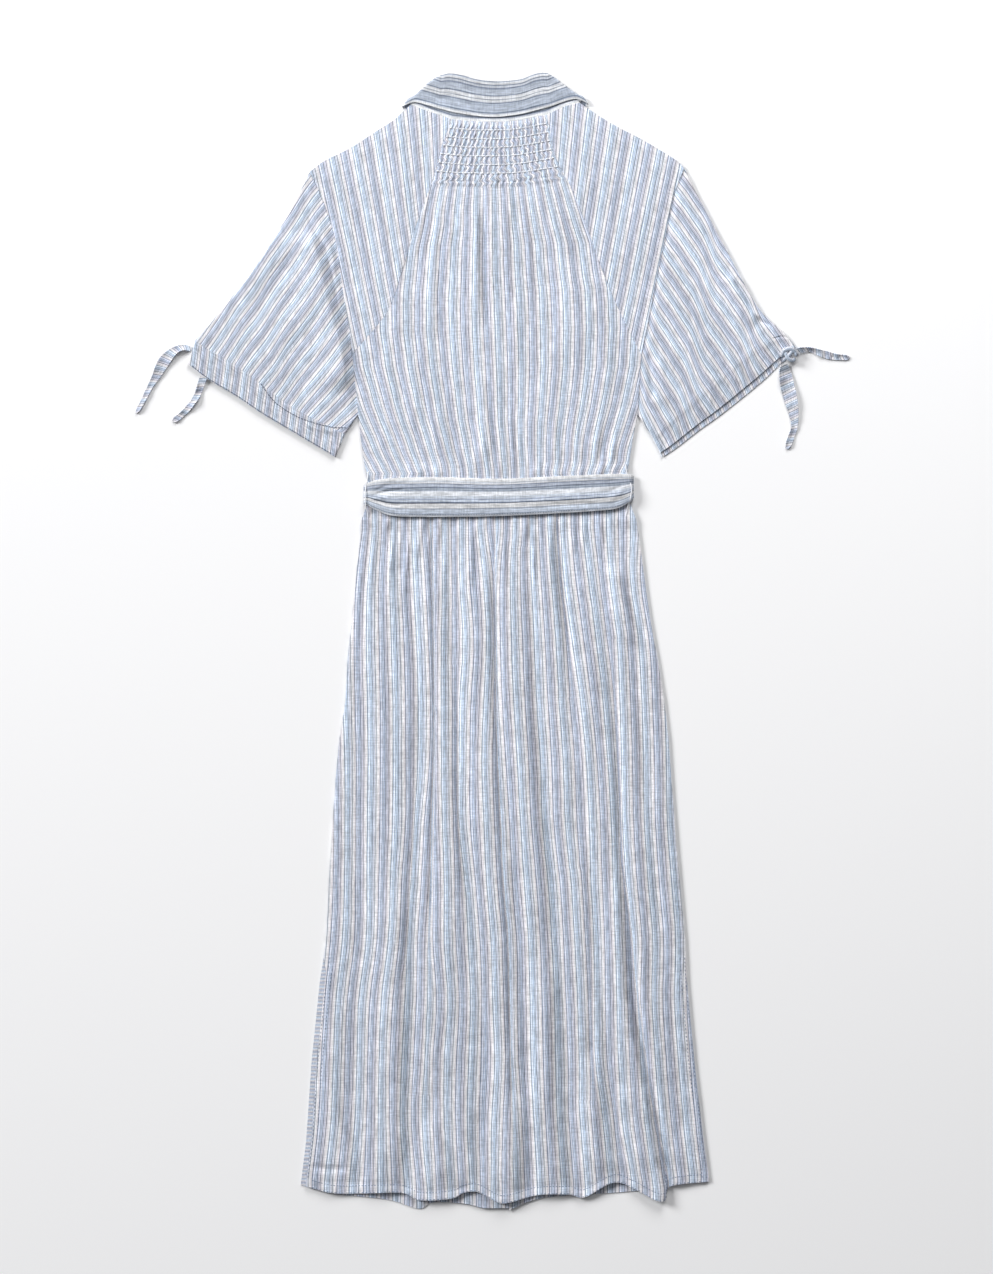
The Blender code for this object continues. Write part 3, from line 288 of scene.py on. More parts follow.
def front_rise(x: Array, y: Array) -> Array:
    """Height of the front's outer face, which the buttons, the sash and the collar leaves lift.

    Args:
        x, y: places across and up.

    Returns:
        Millimetres over the floor.
    """
    placket = PLACKET_RAISE * straight_ramp(np.abs(x - CENTRE_X), PLACKET_HALF_WIDTH, PLACKET_RAMP)
    sash = SASH_RAISE * straight_ramp(np.abs(y - WAIST_Y), SASH_FLAT, SASH_RAMP)
    from_neck = np.hypot(x - NECK_CENTRE[0], y - NECK_CENTRE[1])
    leaves = LAYER_STEP * straight_ramp(from_neck, LEAF_REACH, LEAF_RAMP)
    return np.maximum(np.maximum(placket, sash), leaves)


def back_rise(x: Array, y: Array) -> Array:
    """Height of the back's inner face, which lies on the front.

    Args:
        x, y: places across and up.

    Returns:
        Millimetres over the floor.
    """
    edge = np.minimum(x - side_at(BODY_EDGES, y, 1), side_at(BODY_EDGES, y, 2) - x)
    inside = np.clip(edge / LOFT_REACH, 0.0, 1.0)
    under_sash = UNDER_SASH * straight_ramp(np.abs(y - WAIST_Y), SASH_FLAT, SASH_RAMP)
    return front_rise(x, y) + LAYER_STEP + LOFT * inside * (1.0 - under_sash)


@dataclass(frozen=True)
class Crease:
    """A soft ridge or trough of laid cloth along a path; it fades out at both ends.

    A positive lean makes the flank on the right of the path the steeper one.
    """

    path: tuple[tuple[float, float], ...]
    height: float
    width: float
    fade: float = 25.0
    lean: float = 0.0

    def relief(self, x: Array, y: Array) -> Array:
        """Its height at each place.

        Args:
            x, y: places across and up.

        Returns:
            Millimetres, negative in a trough.
        """
        line = smooth_line(self.path, 24)
        span = line[-1] - line[0]
        length = float(np.hypot(*span))
        axis = span / length
        normal = np.array([axis[1], -axis[0]])
        along = (x - line[0, 0]) * axis[0] + (y - line[0, 1]) * axis[1]
        across = (x - line[0, 0]) * normal[0] + (y - line[0, 1]) * normal[1]
        middle = np.interp(along, (line - line[0]) @ axis, (line - line[0]) @ normal)
        off = (across - middle) / self.width
        off = np.where(off > 0, off * (1.0 + self.lean), off * (1.0 - self.lean))
        ends = ramp(-along, 0.0, self.fade) * ramp(along - length, 0.0, self.fade)
        inside = ramp(self.fade - along, 0.0, self.fade) * ramp(along - length + self.fade, 0.0, self.fade)
        return self.height * np.exp(-off * off) * np.minimum(ends, inside)


def creases(items: Sequence[Crease], x: Array, y: Array) -> Array:
    """Height of all the given creases together."""
    return sum((item.relief(x, y) for item in items), np.zeros_like(x))


def rumple(x: Array, y: Array, seed: int, height: float) -> Array:
    """Slight unevenness of washed linen: a few crossing waves 20 to 70 mm long.

    Args:
        x, y: places across and up.
        seed: tells one rumpling from another.
        height: the usual height of a wave.

    Returns:
        Millimetres over or under the smooth cloth.
    """
    random = np.random.default_rng(seed)
    total = np.zeros_like(x)
    for _ in range(14):
        wave_length = random.uniform(20.0, 70.0)
        heading = random.uniform(-0.6, 0.6) + (math.pi / 2 if random.random() < 0.25 else 0.0)
        phase = random.uniform(0.0, 2 * math.pi)
        total += np.sin(2 * math.pi * (x * math.cos(heading) + y * math.sin(heading)) / wave_length + phase)
    return height * total / 4.0


@dataclass
class Outline:
    """Flat grid of a piece between four lines; columns run left to right and rows downward.

    The top and bottom have a place for each column, the left and right one for each row. The reaches
    are the share of the rows over which each end's own shape fades.
    """

    top: Array
    bottom: Array
    left: Array
    right: Array
    top_reach: float = 1.0
    bottom_reach: float = 1.0

    def __post_init__(self) -> None:
        """Fills the grid of places."""
        u = np.linspace(0, 1, len(self.top))[None, :, None]
        v = np.linspace(0, 1, len(self.left))[:, None, None]
        rows = self.left[:, None] * (1 - u) + self.right[:, None] * u
        top_shape = self.top[None] - (self.top[0] * (1 - u) + self.top[-1] * u)
        bottom_shape = self.bottom[None] - (self.bottom[0] * (1 - u) + self.bottom[-1] * u)
        rows = rows + top_shape * straight_ramp(v, 0.0, self.top_reach)
        self.places = self._drawn_in(rows + bottom_shape * straight_ramp(1 - v, 0.0, self.bottom_reach))

    @staticmethod
    def _drawn_in(places: Array) -> Array:
        """Moves the border of a grid in, so that a seam keeps its gap.

        Args:
            places: the grid.

        Returns:
            The grid with its border moved.
        """
        inner = places.copy()
        every = slice(None)
        for here, there in (((every, 0), (every, 1)), ((every, -1), (every, -2)), (0, 1), (-1, -2)):
            step = places[there] - places[here]
            reach = np.maximum(np.linalg.norm(step, axis=-1, keepdims=True), TINY)
            inner[here] += step / reach * SEAM_INSET
        return inner

    @property
    def x(self) -> Array:
        """Place across of every grid point."""
        return self.places[..., 0]

    @property
    def y(self) -> Array:
        """Place up the dress of every grid point."""
        return self.places[..., 1]


def make_mesh(name: str, points: Array, faces: Array, cloth: Array | None = None) -> Piece:
    """Makes a smooth mesh object.

    Args:
        name: the object's name.
        points: places in millimetres, one a row.
        faces: four point numbers a row.
        cloth: millimetres across and along the cloth at each point, or None.

    Returns:
        The new object, in the scene.
    """
    mesh = bpy.data.meshes.new(name)
    mesh.vertices.add(len(points))
    mesh.vertices.foreach_set("co", (points * MM).astype(np.float32).ravel())
    mesh.loops.add(faces.size)
    mesh.loops.foreach_set("vertex_index", faces.astype(np.int32).ravel())
    mesh.polygons.add(len(faces))
    mesh.polygons.foreach_set("loop_start", np.arange(0, faces.size, 4, dtype=np.int32))
    mesh.update(calc_edges=True)
    mesh.validate()
    if cloth is not None:
        layer = mesh.uv_layers.new(name="Cloth")
        layer.data.foreach_set("uv", (cloth[faces.ravel()] * MM).astype(np.float32).ravel())
    mesh.shade_smooth()
    mesh.set_sharp_from_angle(angle=math.radians(SHARP_ANGLE))
    piece = bpy.data.objects.new(name, mesh)
    bpy.context.scene.collection.objects.link(piece)
    return piece


def quads(rows: int, columns: int, start: int, flip: bool) -> Array:
    """Faces of a grid of numbered points.

    Args:
        rows: how many rows of points.
        columns: how many points in a row.
        start: the number of the first point.
        flip: whether the faces look the other way.

    Returns:
        Four point numbers a row.
    """
    corner = (np.arange(rows - 1)[:, None] * columns + np.arange(columns - 1)).ravel() + start
    faces = np.stack([corner, corner + columns, corner + columns + 1, corner + 1], axis=1)
    return faces[:, ::-1] if flip else faces


def shell(name: str, upper: Array, lower: Array, cloth: Array) -> Piece:
    """Makes a closed thin shell between two grids of places of the same size.

    Args:
        name: the object's name.
        upper: the grid of its outer face.
        lower: the grid of its inner face.
        cloth: millimetres across and along the cloth at each place.

    Returns:
        The new object.
    """
    rows, columns = upper.shape[:2]
    count = rows * columns
    number = np.arange(count).reshape(rows, columns)
    rim = np.concatenate([number[0, :-1], number[:-1, -1], number[-1, :0:-1], number[:0:-1, 0]])
    ahead = np.roll(rim, -1)
    wall = np.stack([rim, ahead, ahead + count, rim + count], axis=1)
    faces = np.vstack([quads(rows, columns, 0, False), quads(rows, columns, count, True), wall])
    points = np.vstack([upper.reshape(-1, 3), lower.reshape(-1, 3)])
    return make_mesh(name, points, faces, np.vstack([cloth.reshape(-1, 2)] * 2))


def with_height(places: Array, z: Array) -> Array:
    """Joins a flat grid of places and its heights."""
    return np.concatenate([places, z[..., None]], axis=-1)


def grid_normals(grid: Array) -> Array:
    """Unit normals of a grid in space, up where it runs right and downward."""
    normal = np.cross(np.gradient(grid, axis=0), np.gradient(grid, axis=1))
    return normal / np.maximum(np.linalg.norm(normal, axis=-1, keepdims=True), 1e-9)


@dataclass(frozen=True)
class StripeGuide:
    """A thread of the gathered skirt: its number in stripes, and where it lies at each guide level.

    The fold numbers say where cloth that has no room before the next guide lies hidden, as shares of the
    way there at the waist, at half height and at the hem.
    """

    number: float
    places: tuple[float, ...]
    fold: tuple[float, float, float] = (0.5, 0.5, 0.5)


GUIDE_LEVELS = (122, 67, 2, -63, -129, -194, -260, -325, -390, -456, -521, -587)
SKIRT_GUIDES = (
    StripeGuide(1, (-165, -174, -178, -178, -175, -174, -175, -178, -184, -188, -191, -198)),
    StripeGuide(4, (-132, -137, -139, -138, -137, -138, -138, -139, -147, -149, -151, -158)),
    StripeGuide(7, (-101, -101, -98, -96, -96, -96, -100, -103, -110, -113, -113, -111)),
    StripeGuide(9, (-78, -74, -71, -69, -70, -75, -79, -83, -84, -87, -90, -84)),
    StripeGuide(12, (-56, -56, -57, -57, -57, -56, -54, -54, -50, -54, -54, -50), (0.6, 0.6, 0.75)),
    StripeGuide(15, (-27, -26, -22, -25, -26, -26, -20, -15, -13, -14, -16, -14)),
    StripeGuide(16, (-17, -11, -8, -11, -13, -11, -8, -3, -1, 1, -2, -3), (0.75, 0.7, 0.75)),
    StripeGuide(19, (11, 7, 7, 9, 13, 17, 20, 25, 26, 27, 31, 34), (0.75, 0.8, 0.8)),
    StripeGuide(23, (49, 52, 56, 59, 63, 65, 72, 76, 79, 81, 82, 87), (0.75, 0.75, 0.8)),
    StripeGuide(26.5, (78, 82, 91, 100, 107, 110, 112, 115, 116, 117, 125, 131)),
    StripeGuide(28.5, (103, 110, 118, 125, 130, 134, 136, 138, 140, 142, 146, 156), (0.25, 0.12, 0.8)),
    StripeGuide(33, (162, 160, 169, 173, 175, 176, 180, 185, 184, 188, 193, 200)),
    StripeGuide(36, (200, 199, 209, 212, 214, 215, 220, 224, 223, 227, 233, 239)),
)


@dataclass
class StripeMap:
    """Cloth coordinates of the gathered skirt: drawn threads, with the cloth that has no room in folds.

    The guides go from left to right, with their places given at the levels. The shares say how much of
    the cloth's width shows, as (height, share) from the hem up.
    """

    guides: tuple[StripeGuide, ...]
    levels: tuple[float, ...]
    shares: Points
    pitch: float = 13.0
    fold_width: float = 2.2
    full_fold: float = 9.0
    least_fold: float = 1.0
    samples: int = 80
    above_waist: float = 40.0
    reach: float = 300.0
    # The groove of a fold and the ridges beside it, as (place, height, width)
    section: Points = ((0.0, -2.1, 2.0), (-8.0, 1.0, 5.0), (8.0, 0.5, 5.0))

    def __post_init__(self) -> None:
        """Works out where the folds lie and how much cloth each hides."""
        hem, waist = self.levels[-1], self.levels[0]
        self.level = np.linspace(hem, waist + self.above_waist, self.samples)
        lines = []
        for guide in self.guides:
            line = smooth_line(list(zip(guide.places, self.levels)), 200)[::-1]
            lines.append(np.interp(self.level, line[:, 1], line[:, 0]))
        self.lines = np.array(lines)
        self.numbers = np.array([guide.number for guide in self.guides]) * self.pitch
        share = np.interp(self.level, *np.array(self.shares).T)
        self.share = share
        thirds = [hem, (waist + hem) / 2, waist]
        self.fold_at, self.hidden = [], []
        for index, guide in enumerate(self.guides[:-1]):
            room = self.lines[index + 1] - self.lines[index]
            need = (self.numbers[index + 1] - self.numbers[index]) * share
            part = np.interp(self.level, thirds, guide.fold[::-1])
            self.fold_at.append(self.lines[index] + part * room)
            self.hidden.append(np.clip(need - room, 0.0, None))

    def across(self, x: Array, level: Array) -> Array:
        """Place across the cloth of each place of a grid.

        Args:
            x: places across the dress.
            level: the height of each row.

        Returns:
            Millimetres across the cloth.
        """
        found = np.zeros_like(x)
        half = self.fold_width / 2
        for row, height in enumerate(level):
            places = [np.interp(height, self.level, line) for line in self.lines]
            share = np.interp(height, self.level, self.share)
            knots = [(places[0] - self.reach, self.numbers[0] - self.reach / share)]
            for index, place in enumerate(places):
                knots.append((place, self.numbers[index]))
                if index + 1 == len(places):
                    continue
                if np.interp(height, self.level, self.hidden[index]) < self.least_fold:
                    continue
                fold = np.interp(height, self.level, self.fold_at[index])
                ahead, number = places[index + 1], self.numbers[index + 1]
                knots.append((fold - half, self.numbers[index] + (fold - half - place) / share))
                knots.append((fold + half, number - (ahead - fold - half) / share))
            knots.append((places[-1] + self.reach, self.numbers[-1] + self.reach / share))
            found[row] = np.interp(x[row], *np.array(knots).T)
        return found

    def relief(self, x: Array, y: Array) -> Array:
        """Height of the folds that hide cloth.

        Args:
            x, y: places across and up.

        Returns:
            Millimetres, negative in a fold's groove.
        """
        total = np.zeros_like(x)
        for at, hidden in zip(self.fold_at, self.hidden):
            off = x - np.interp(y, self.level, at)
            strength = np.clip(np.interp(y, self.level, hidden) / self.full_fold, 0.0, 1.0)
            for place, height, width in self.section:
                total += strength * height * np.exp(-((off - place) / width) ** 2)
        return total


@dataclass(frozen=True)
class Lay:
    """How stripes run on a piece: straight lines between a left one and a right one, given by their ends."""

    left_top: tuple[float, float]
    left_bottom: tuple[float, float]
    right_top: tuple[float, float]
    right_bottom: tuple[float, float]
    width: float
    start: float = 0.0
    sway: float = 0.0
    sway_length: float = 90.0
    solving_steps: int = 12

    def cloth(self, places: Array) -> Array:
        """Reads the cloth's own coordinates at places.

        Args:
            places: a grid of places in the plane.

        Returns:
            Millimetres across and along the cloth.
        """
        a, b = np.array(self.left_top), np.array(self.left_bottom)
        c, d = np.array(self.right_top), np.array(self.right_bottom)
        s = np.full(places.shape[:2], 0.5)
        for _ in range(self.solving_steps):
            top = a[None, None] + (b - a) * s[..., None]
            across = (c - a)[None, None] + (d - c - b + a) * s[..., None]
            t = ((places - top) * across).sum(-1) / (across * across).sum(-1)
            start = a + (c - a) * t[..., None]
            along = (b - a) + (d - c - b + a) * t[..., None]
            s = ((places - start) * along).sum(-1) / (along * along).sum(-1)
        down = s * np.sqrt((along * along).sum(-1))
        # A long sway of the stripes and a short tremble on it
        wave = np.sin(2 * math.pi * (down / self.sway_length + 0.35 * t)) + 0.3 * np.sin(down / 7.3 + 4.0 * t)
        return np.stack([self.start + t * self.width + self.sway * wave, -down], axis=-1)


def add_node(tree: Tree, kind: str, settings: dict[str, object] | None = None, **inputs: object) -> Node:
    """Adds a shader node.

    Args:
        tree: the node tree.
        kind: the node's type after the word ShaderNode.
        settings: the node's own properties.
        inputs: constants, sockets or nodes by input name, with _ for a space, or in0, in1 for a number.

    Returns:
        The node.
    """
    node = tree.nodes.new("ShaderNode" + kind)
    for key, value in (settings or {}).items():
        setattr(node, key, value)
    for key, value in inputs.items():
        is_number = key.startswith("in") and key[2:].isdigit()
        socket = node.inputs[int(key[2:])] if is_number else node.inputs[key.replace("_", " ")]
        if isinstance(value, Node):
            value = value.outputs[0]
        if isinstance(value, Socket):
            tree.links.new(value, socket)
        else:
            socket.default_value = value
    return node


# One stripe group across the warp, as (millimetres, colour)
BODY_CHART = (
    (0.0, "#c7c7ca"), (1.7, "#c6c6c9"), (1.8, "#5f6a7a"), (2.5, "#667181"), (2.6, "#a2afc0"),
    (3.1, "#b9c4d2"), (3.2, "#c7ced8"), (4.3, "#c4cbd6"), (4.4, "#71829b"), (5.0, "#8494ab"),
    (5.1, "#b8c2cd"), (5.8, "#b1bcc8"), (5.9, "#7f8fa5"), (6.6, "#8b9aaf"), (6.7, "#b7bfca"),
    (7.2, "#b0b9c4"), (7.3, "#5f6a7b"), (8.0, "#616c7c"), (8.1, "#b6bdca"), (8.9, "#babfca"),
    (9.0, "#848d9f"), (9.4, "#949cac"), (9.5, "#c1c2c9"), (10.3, "#c2c3c9"), (10.4, "#5a6271"),
    (11.0, "#6a7280"), (11.1, "#adb0b6"), (12.0, "#bfc0c3"), (12.1, "#c7c7ca"),
)
# Bands across the sash, from its lower edge up
SASH_CHART = (
    (0.0, "#dcdde1"), (1.5, "#c8ccd3"), (3.4, "#5f6a7c"), (4.2, "#a3acba"), (5.2, "#b4bcc9"),
    (6.8, "#a8b1bf"), (7.4, "#b7c0cc"), (9.0, "#a9b0bd"), (9.4, "#5e6879"), (10.1, "#b6bac1"),
    (10.9, "#cbcbcc"), (12.4, "#bdbec2"), (14.9, "#cacacb"), (15.3, "#4b5466"), (16.4, "#535c6e"),
    (16.9, "#abb4c2"), (18.8, "#b6bec9"), (19.6, "#75809a"), (20.6, "#b9c0cb"), (22.9, "#b1b9c4"),
    (23.6, "#cbced4"), (27.8, "#c9ccd2"), (28.6, "#abb2be"), (29.7, "#6f7989"), (30.6, "#9ea6b1"),
    (32.4, "#586174"), (33.2, "#a4abb8"), (35.4, "#989fad"), (36.4, "#626b7d"), (37.2, "#c6c7c9"),
    (38.9, "#a3a9b4"), (40.2, "#c6c7c9"),
)
# Bands across the collar, from its roll to its edge
COLLAR_CHART = (
    (0.0, "#c9cacc"), (1.6, "#c9cacb"), (2.1, "#626b7c"), (2.8, "#989fab"), (3.3, "#c0c3c9"),
    (4.9, "#c0c2c5"), (5.5, "#5b6476"), (6.4, "#9ea5b1"), (7.2, "#b5b9c0"), (8.2, "#a9afbb"),
    (8.9, "#616a7d"), (10.2, "#959dab"), (11.2, "#a4acb8"), (13.4, "#a0a7b5"), (15.6, "#acb4bf"),
    (16.4, "#505a6d"), (17.1, "#888f9b"), (17.7, "#c1c3c9"), (20.2, "#c0c2c6"), (20.8, "#6b7483"),
    (21.6, "#c3c5c8"), (23.2, "#b9bcc2"), (24.2, "#596377"), (25.2, "#99a1ad"), (26.8, "#9098a7"),
    (28.4, "#a4acb8"), (31.0, "#9ca4b3"), (33.4, "#a3acb8"), (34.2, "#515e74"), (35.4, "#a0a7b5"),
    (36.2, "#c6c9cf"), (37.6, "#d0d3d6"),
)


@dataclass(frozen=True)
class StripedLinen:
    """Yarn-dyed linen blend: stripes are in the warp, and slubs in both yarns break them up.

    Washed, loosely woven and unpressed, so it is dry and matt, without a highlight. Its loose fibres
    give it a faint bloom where light grazes it.
    """

    name: str
    tone: float
    slub: float
    weft: float
    chart: tuple[tuple[float, str], ...] = BODY_CHART
    repeat: float = 13.0
    second: str = "#f7f3f5"
    shade: float = 0.09
    # How far a stripe wanders, in metres, and over what length (noise for a metre, and its stretch)
    drift: float = 0.0014
    drift_scale: float = 130.0
    drift_stretch: float = 0.07
    noise_range: tuple[float, float] = (0.32, 0.68)
    thread_step: float = 0.5
    roughness: float = 0.88
    specular: float = 0.25
    sheen: float = 0.18
    sheen_roughness: float = 0.45

    def material(self) -> Material:
        """Builds the cloth; the mesh gives metres across and along it.

        Returns:
            The material.
        """
        material = bpy.data.materials.new(self.name)
        material.use_nodes = True
        tree = material.node_tree
        shader = tree.nodes["Principled BSDF"]
        cloth = add_node(tree, "UVMap", {"uv_map": "Cloth"})
        axes = tuple(add_node(tree, "SeparateXYZ", in0=cloth).outputs[:2])
        yarns = self._stripes(tree, axes)
        # Slubs of the warp and the weft, which are finer in real yarn and are drawn 1.5 mm thick so that
        # they show, and the wide uneven shade of washed cloth
        for size, amount in (((1.5, 15.0), self.slub), ((12.0, 1.5), self.weft), ((15.0, 170.0), self.shade)):
            yarns = self._slubbed(tree, axes, yarns, size, amount)
        tree.links.new(yarns, shader.inputs["Base Color"])
        bump = add_node(tree, "Bump", Height=self._threads(tree, axes), Distance=0.0001, Strength=0.35)
        tree.links.new(bump.outputs[0], shader.inputs["Normal"])
        shader.inputs["Roughness"].default_value = self.roughness
        shader.inputs["Specular IOR Level"].default_value = self.specular
        shader.inputs["Sheen Weight"].default_value = self.sheen
        shader.inputs["Sheen Roughness"].default_value = self.sheen_roughness
        return material

    def _stripes(self, tree: Tree, cloth: tuple[Socket, ...]) -> Socket:
        """Colours the warp by the chart, with every second group slightly tinted.

        Args:
            tree: the node tree.
            cloth: metres across and along the cloth.

        Returns:
            The colour.
        """
        stretched = add_node(tree, "Math", {"operation": "MULTIPLY"}, in0=cloth[1], in1=self.drift_stretch)
        wide = add_node(tree, "CombineXYZ", in0=cloth[0], in1=stretched)
        drift = add_node(tree, "TexNoise", {"noise_dimensions": "2D"}, in0=wide, Scale=self.drift_scale,
                         Detail=2.0)
        moved = add_node(tree, "Math", {"operation": "MULTIPLY_ADD"}, in0=drift, in1=self.drift, in2=cloth[0])
        turns = add_node(tree, "Math", {"operation": "MULTIPLY"}, in0=moved, in1=1.0 / (self.repeat * MM))
        place = add_node(tree, "Math", {"operation": "FRACT"}, in0=turns)
        chart = add_node(tree, "ValToRGB", in0=place)
        stops = chart.color_ramp.elements
        while len(stops) < len(self.chart):
            stops.new(0.5)
        for stop, (position, colour) in zip(stops, self.chart):
            stop.position = position / self.repeat
            stop.color = linear_colour(colour)
        pairs = add_node(tree, "Math", {"operation": "MULTIPLY"}, in0=turns, in1=0.5)
        which = add_node(tree, "Math", {"operation": "FRACT"}, in0=pairs)
        second = add_node(tree, "ValToRGB", in0=which)
        second.color_ramp.interpolation = "CONSTANT"
        second.color_ramp.elements[0].color = linear_colour("#ffffff")
        second.color_ramp.elements[1].position = 0.5
        second.color_ramp.elements[1].color = linear_colour(self.second)
        tinted = add_node(tree, "Mix", {"data_type": "RGBA", "blend_type": "MULTIPLY"}, in0=1.0, in6=chart,
                          in7=second)
        return tinted.outputs[2]

    def _slubbed(
        self, tree: Tree, cloth: tuple[Socket, ...], colour: Socket, size: tuple[float, float], amount: float,
    ) -> Socket:
        """Lightens and darkens a colour by uneven yarns.

        Args:
            tree: the node tree.
            cloth: metres across and along the cloth.
            colour: the colour.
            size: width and length of a thick place of the yarn, in millimetres.
            amount: how much lighter and darker it gets.

        Returns:
            The changed colour.
        """
        x, y = (add_node(tree, "Math", {"operation": "MULTIPLY"}, in0=axis, in1=1 / (step * MM))
                for axis, step in zip(cloth, size))
        place = add_node(tree, "CombineXYZ", in0=x, in1=y)
        noise = add_node(tree, "TexNoise", {"noise_dimensions": "2D"}, in0=place, Scale=1.0, Detail=3.0,
                         Roughness=0.6)
        # The tone is shared out among the three layers of slubs
        middle = self.tone ** 0.34
        level = add_node(tree, "MapRange", in0=noise, in1=self.noise_range[0], in2=self.noise_range[1],
                         in3=middle - amount, in4=middle + amount)
        grey = add_node(tree, "CombineXYZ", in0=level, in1=level, in2=level)
        changed = add_node(tree, "Mix", {"data_type": "RGBA", "blend_type": "MULTIPLY"}, in0=1.0, in6=colour,
                           in7=grey)
        return changed.outputs[2]

    def _threads(self, tree: Tree, cloth: tuple[Socket, ...]) -> Socket:
        """Height of the plain weave, with threads at their real 0.5 mm, over and under.

        Args:
            tree: the node tree.
            cloth: metres across and along the cloth.

        Returns:
            The height, from -1 to 1.
        """
        waves = []
        for axis in cloth:
            turn = add_node(tree, "Math", {"operation": "MULTIPLY"}, in0=axis,
                            in1=math.pi / (self.thread_step * MM))
            waves.append(add_node(tree, "Math", {"operation": "SINE"}, in0=turn))
        return add_node(tree, "Math", {"operation": "MULTIPLY"}, in0=waves[0], in1=waves[1]).outputs[0]


@dataclass(frozen=True)
class PlainFinish:
    """A finish of one colour, without a pattern."""

    name: str
    colour: str
    roughness: float
    specular: float = 0.3

    def material(self) -> Material:
        """Builds the material.

        Returns:
            The material.
        """
        material = bpy.data.materials.new(self.name)
        material.use_nodes = True
        shader = material.node_tree.nodes["Principled BSDF"]
        shader.inputs["Base Color"].default_value = linear_colour(self.colour)
        shader.inputs["Roughness"].default_value = self.roughness
        shader.inputs["Specular IOR Level"].default_value = self.specular
        return material


class Finishes:
    """The materials of the dress, each made once."""

    def __init__(self) -> None:
        """Makes every material."""
        # Stripes up the dress, on soft cloth that is a little thinner and so the palest
        self.body = StripedLinen("StripedLinen", 1.385, 0.24, 0.15).material()
        # The same cloth cut crosswise and folded: denser, a little darker and more slubbed
        self.cuff = StripedLinen("StripedLinenCrosswise", 1.27, 0.3, 0.2).material()
        # Pressed and lying double, with its stripes along it: flatter, with fewer white threads
        self.sash = StripedLinen("StripedLinenSash", 1.12, 0.26, 0.14, SASH_CHART, 43.0, "#ffffff").material()
        # Interfaced and pressed, with its stripes along it: the smoothest and greyest of the cloth
        self.collar = StripedLinen("StripedLinenCollar", 1.11, 0.24, 0.14, COLLAR_CHART, 38.0,
                                   "#ffffff").material()
        # Spun cotton sewing threads, matt with a soft gleam: pale ones melt into the white stripes
        self.pale_thread = PlainFinish("PaleCottonThread", "#dfe1e6", 0.7).material()
        # These melt into the blue stripes
        self.blue_thread = PlainFinish("DustyBlueCottonThread", "#76849b", 0.7).material()
        # These stand out as short dark dashes; run almost unbroken along the left cuff's hem, the same thread
        # is a painted shadow line
        self.dark_thread_and_hem_shadow = PlainFinish("SlateCottonThread", "#4d566a", 0.7).material()
        # Moulded resin, polished: a clear small highlight on a warm off-white
        self.button = PlainFinish("PaleResinButton", "#ddd8cc", 0.32, 0.5).material()


class Slot(Enum):
    """Material slots of the record."""

    BODY = "striped_cloth"
    CUFF = "cuff_cloth"
    SASH = "sash_cloth"
    BUTTON = "button"


class Side(Enum):
    """Sides of the back view, each with its column in the tables of edges."""

    LEFT = 1
    RIGHT = 2

    @property
    def title(self) -> str:
        """The side's word in the name of a piece."""
        return self.name.title()

    @property
    def word(self) -> str:
        """The side's word in the name of a node."""
        return self.name.lower()


@dataclass(frozen=True)
class Cut:
    """What is cut for the shown piece before gathers and seams, in metres."""

    width: float
    length: float
    area: float


def seat(piece: Piece, material: Material, node: str | None = None) -> None:
    """Gives a piece its material, its body and the solid that it stands for, and reports it.

    Args:
        piece: the object.
        material: its material.
        node: the node that it replaces, or None for stitches.
    """
    piece.data.materials.append(material)
    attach(piece, BODY)
    if node:
        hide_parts(node)
    LOG.info("%-18s %6d faces, %s", piece.name, len(piece.data.polygons), node or "stitching")


@dataclass
class Thread:
    """Stitches of one colour, gathered into one object.

    A stitch is a spindle with four sides, given as (share of its length, share of its thickness).
    """

    name: str
    width: float
    spindle: Points = ((0.0, 0.25), (0.18, 1.0), (0.82, 1.0), (1.0, 0.25))
    starts: list[Array] = field(default_factory=list)
    ends: list[Array] = field(default_factory=list)

    def run(self, line: Array, surface: Surface, pitch: float, share: float, lift: float) -> None:
        """Sews along a line.

        Args:
            line: places in the plane.
            surface: gives the cloth's height at places across and up.
            pitch: from one stitch to the next.
            share: how much of the pitch the thread shows.
            lift: how far the thread stands over the cloth.
        """
        length = float(np.linalg.norm(np.diff(line, axis=0), axis=1).sum())
        count = max(int(length / pitch), 1)
        places = even_line(line, count * 2 + 1)
        here, there = places[0:-1:2], places[1::2]
        there = here + (there - here) * 2 * share
        for ends, flat in ((self.starts, here), (self.ends, there)):
            z = surface(flat[:, 0], flat[:, 1]) + lift
            ends.append(np.concatenate([flat, z[:, None]], axis=1))

    def make(self, material: Material, slot: Slot) -> None:
        """Builds the object that holds every stitch.

        Args:
            material: the thread's material.
            slot: the slot of the cloth that it is sewn in; not used.
        """
        start, end = np.vstack(self.starts), np.vstack(self.ends)
        axis = end - start
        side = np.cross(axis, [0.0, 0.0, 1.0])
        side *= self.width / 2 / np.maximum(np.linalg.norm(side, axis=1, keepdims=True), TINY)
        up = np.array([[0.0, 0.0, self.width / 2]])
        points = []
        for share, size in self.spindle:
            middle = start + axis * share
            for a, b in ((1, 0), (0, 1), (-1, 0), (0, -1)):
                points.append(middle + (side * a + up * b) * size)
        faces = []
        for ring in range(0, 12, 4):
            for k in range(4):
                near, far = ring + k, ring + (k + 1) % 4
                faces.append((near, far, far + 4, near + 4))
        faces += [(3, 2, 1, 0), (12, 13, 14, 15)]
        offsets = np.arange(len(start))[:, None, None] * len(points)
        piece = make_mesh(self.name, np.stack(points, axis=1).reshape(-1, 3),
                          (np.array(faces)[None] + offsets).reshape(-1, 4))
        seat(piece, material)


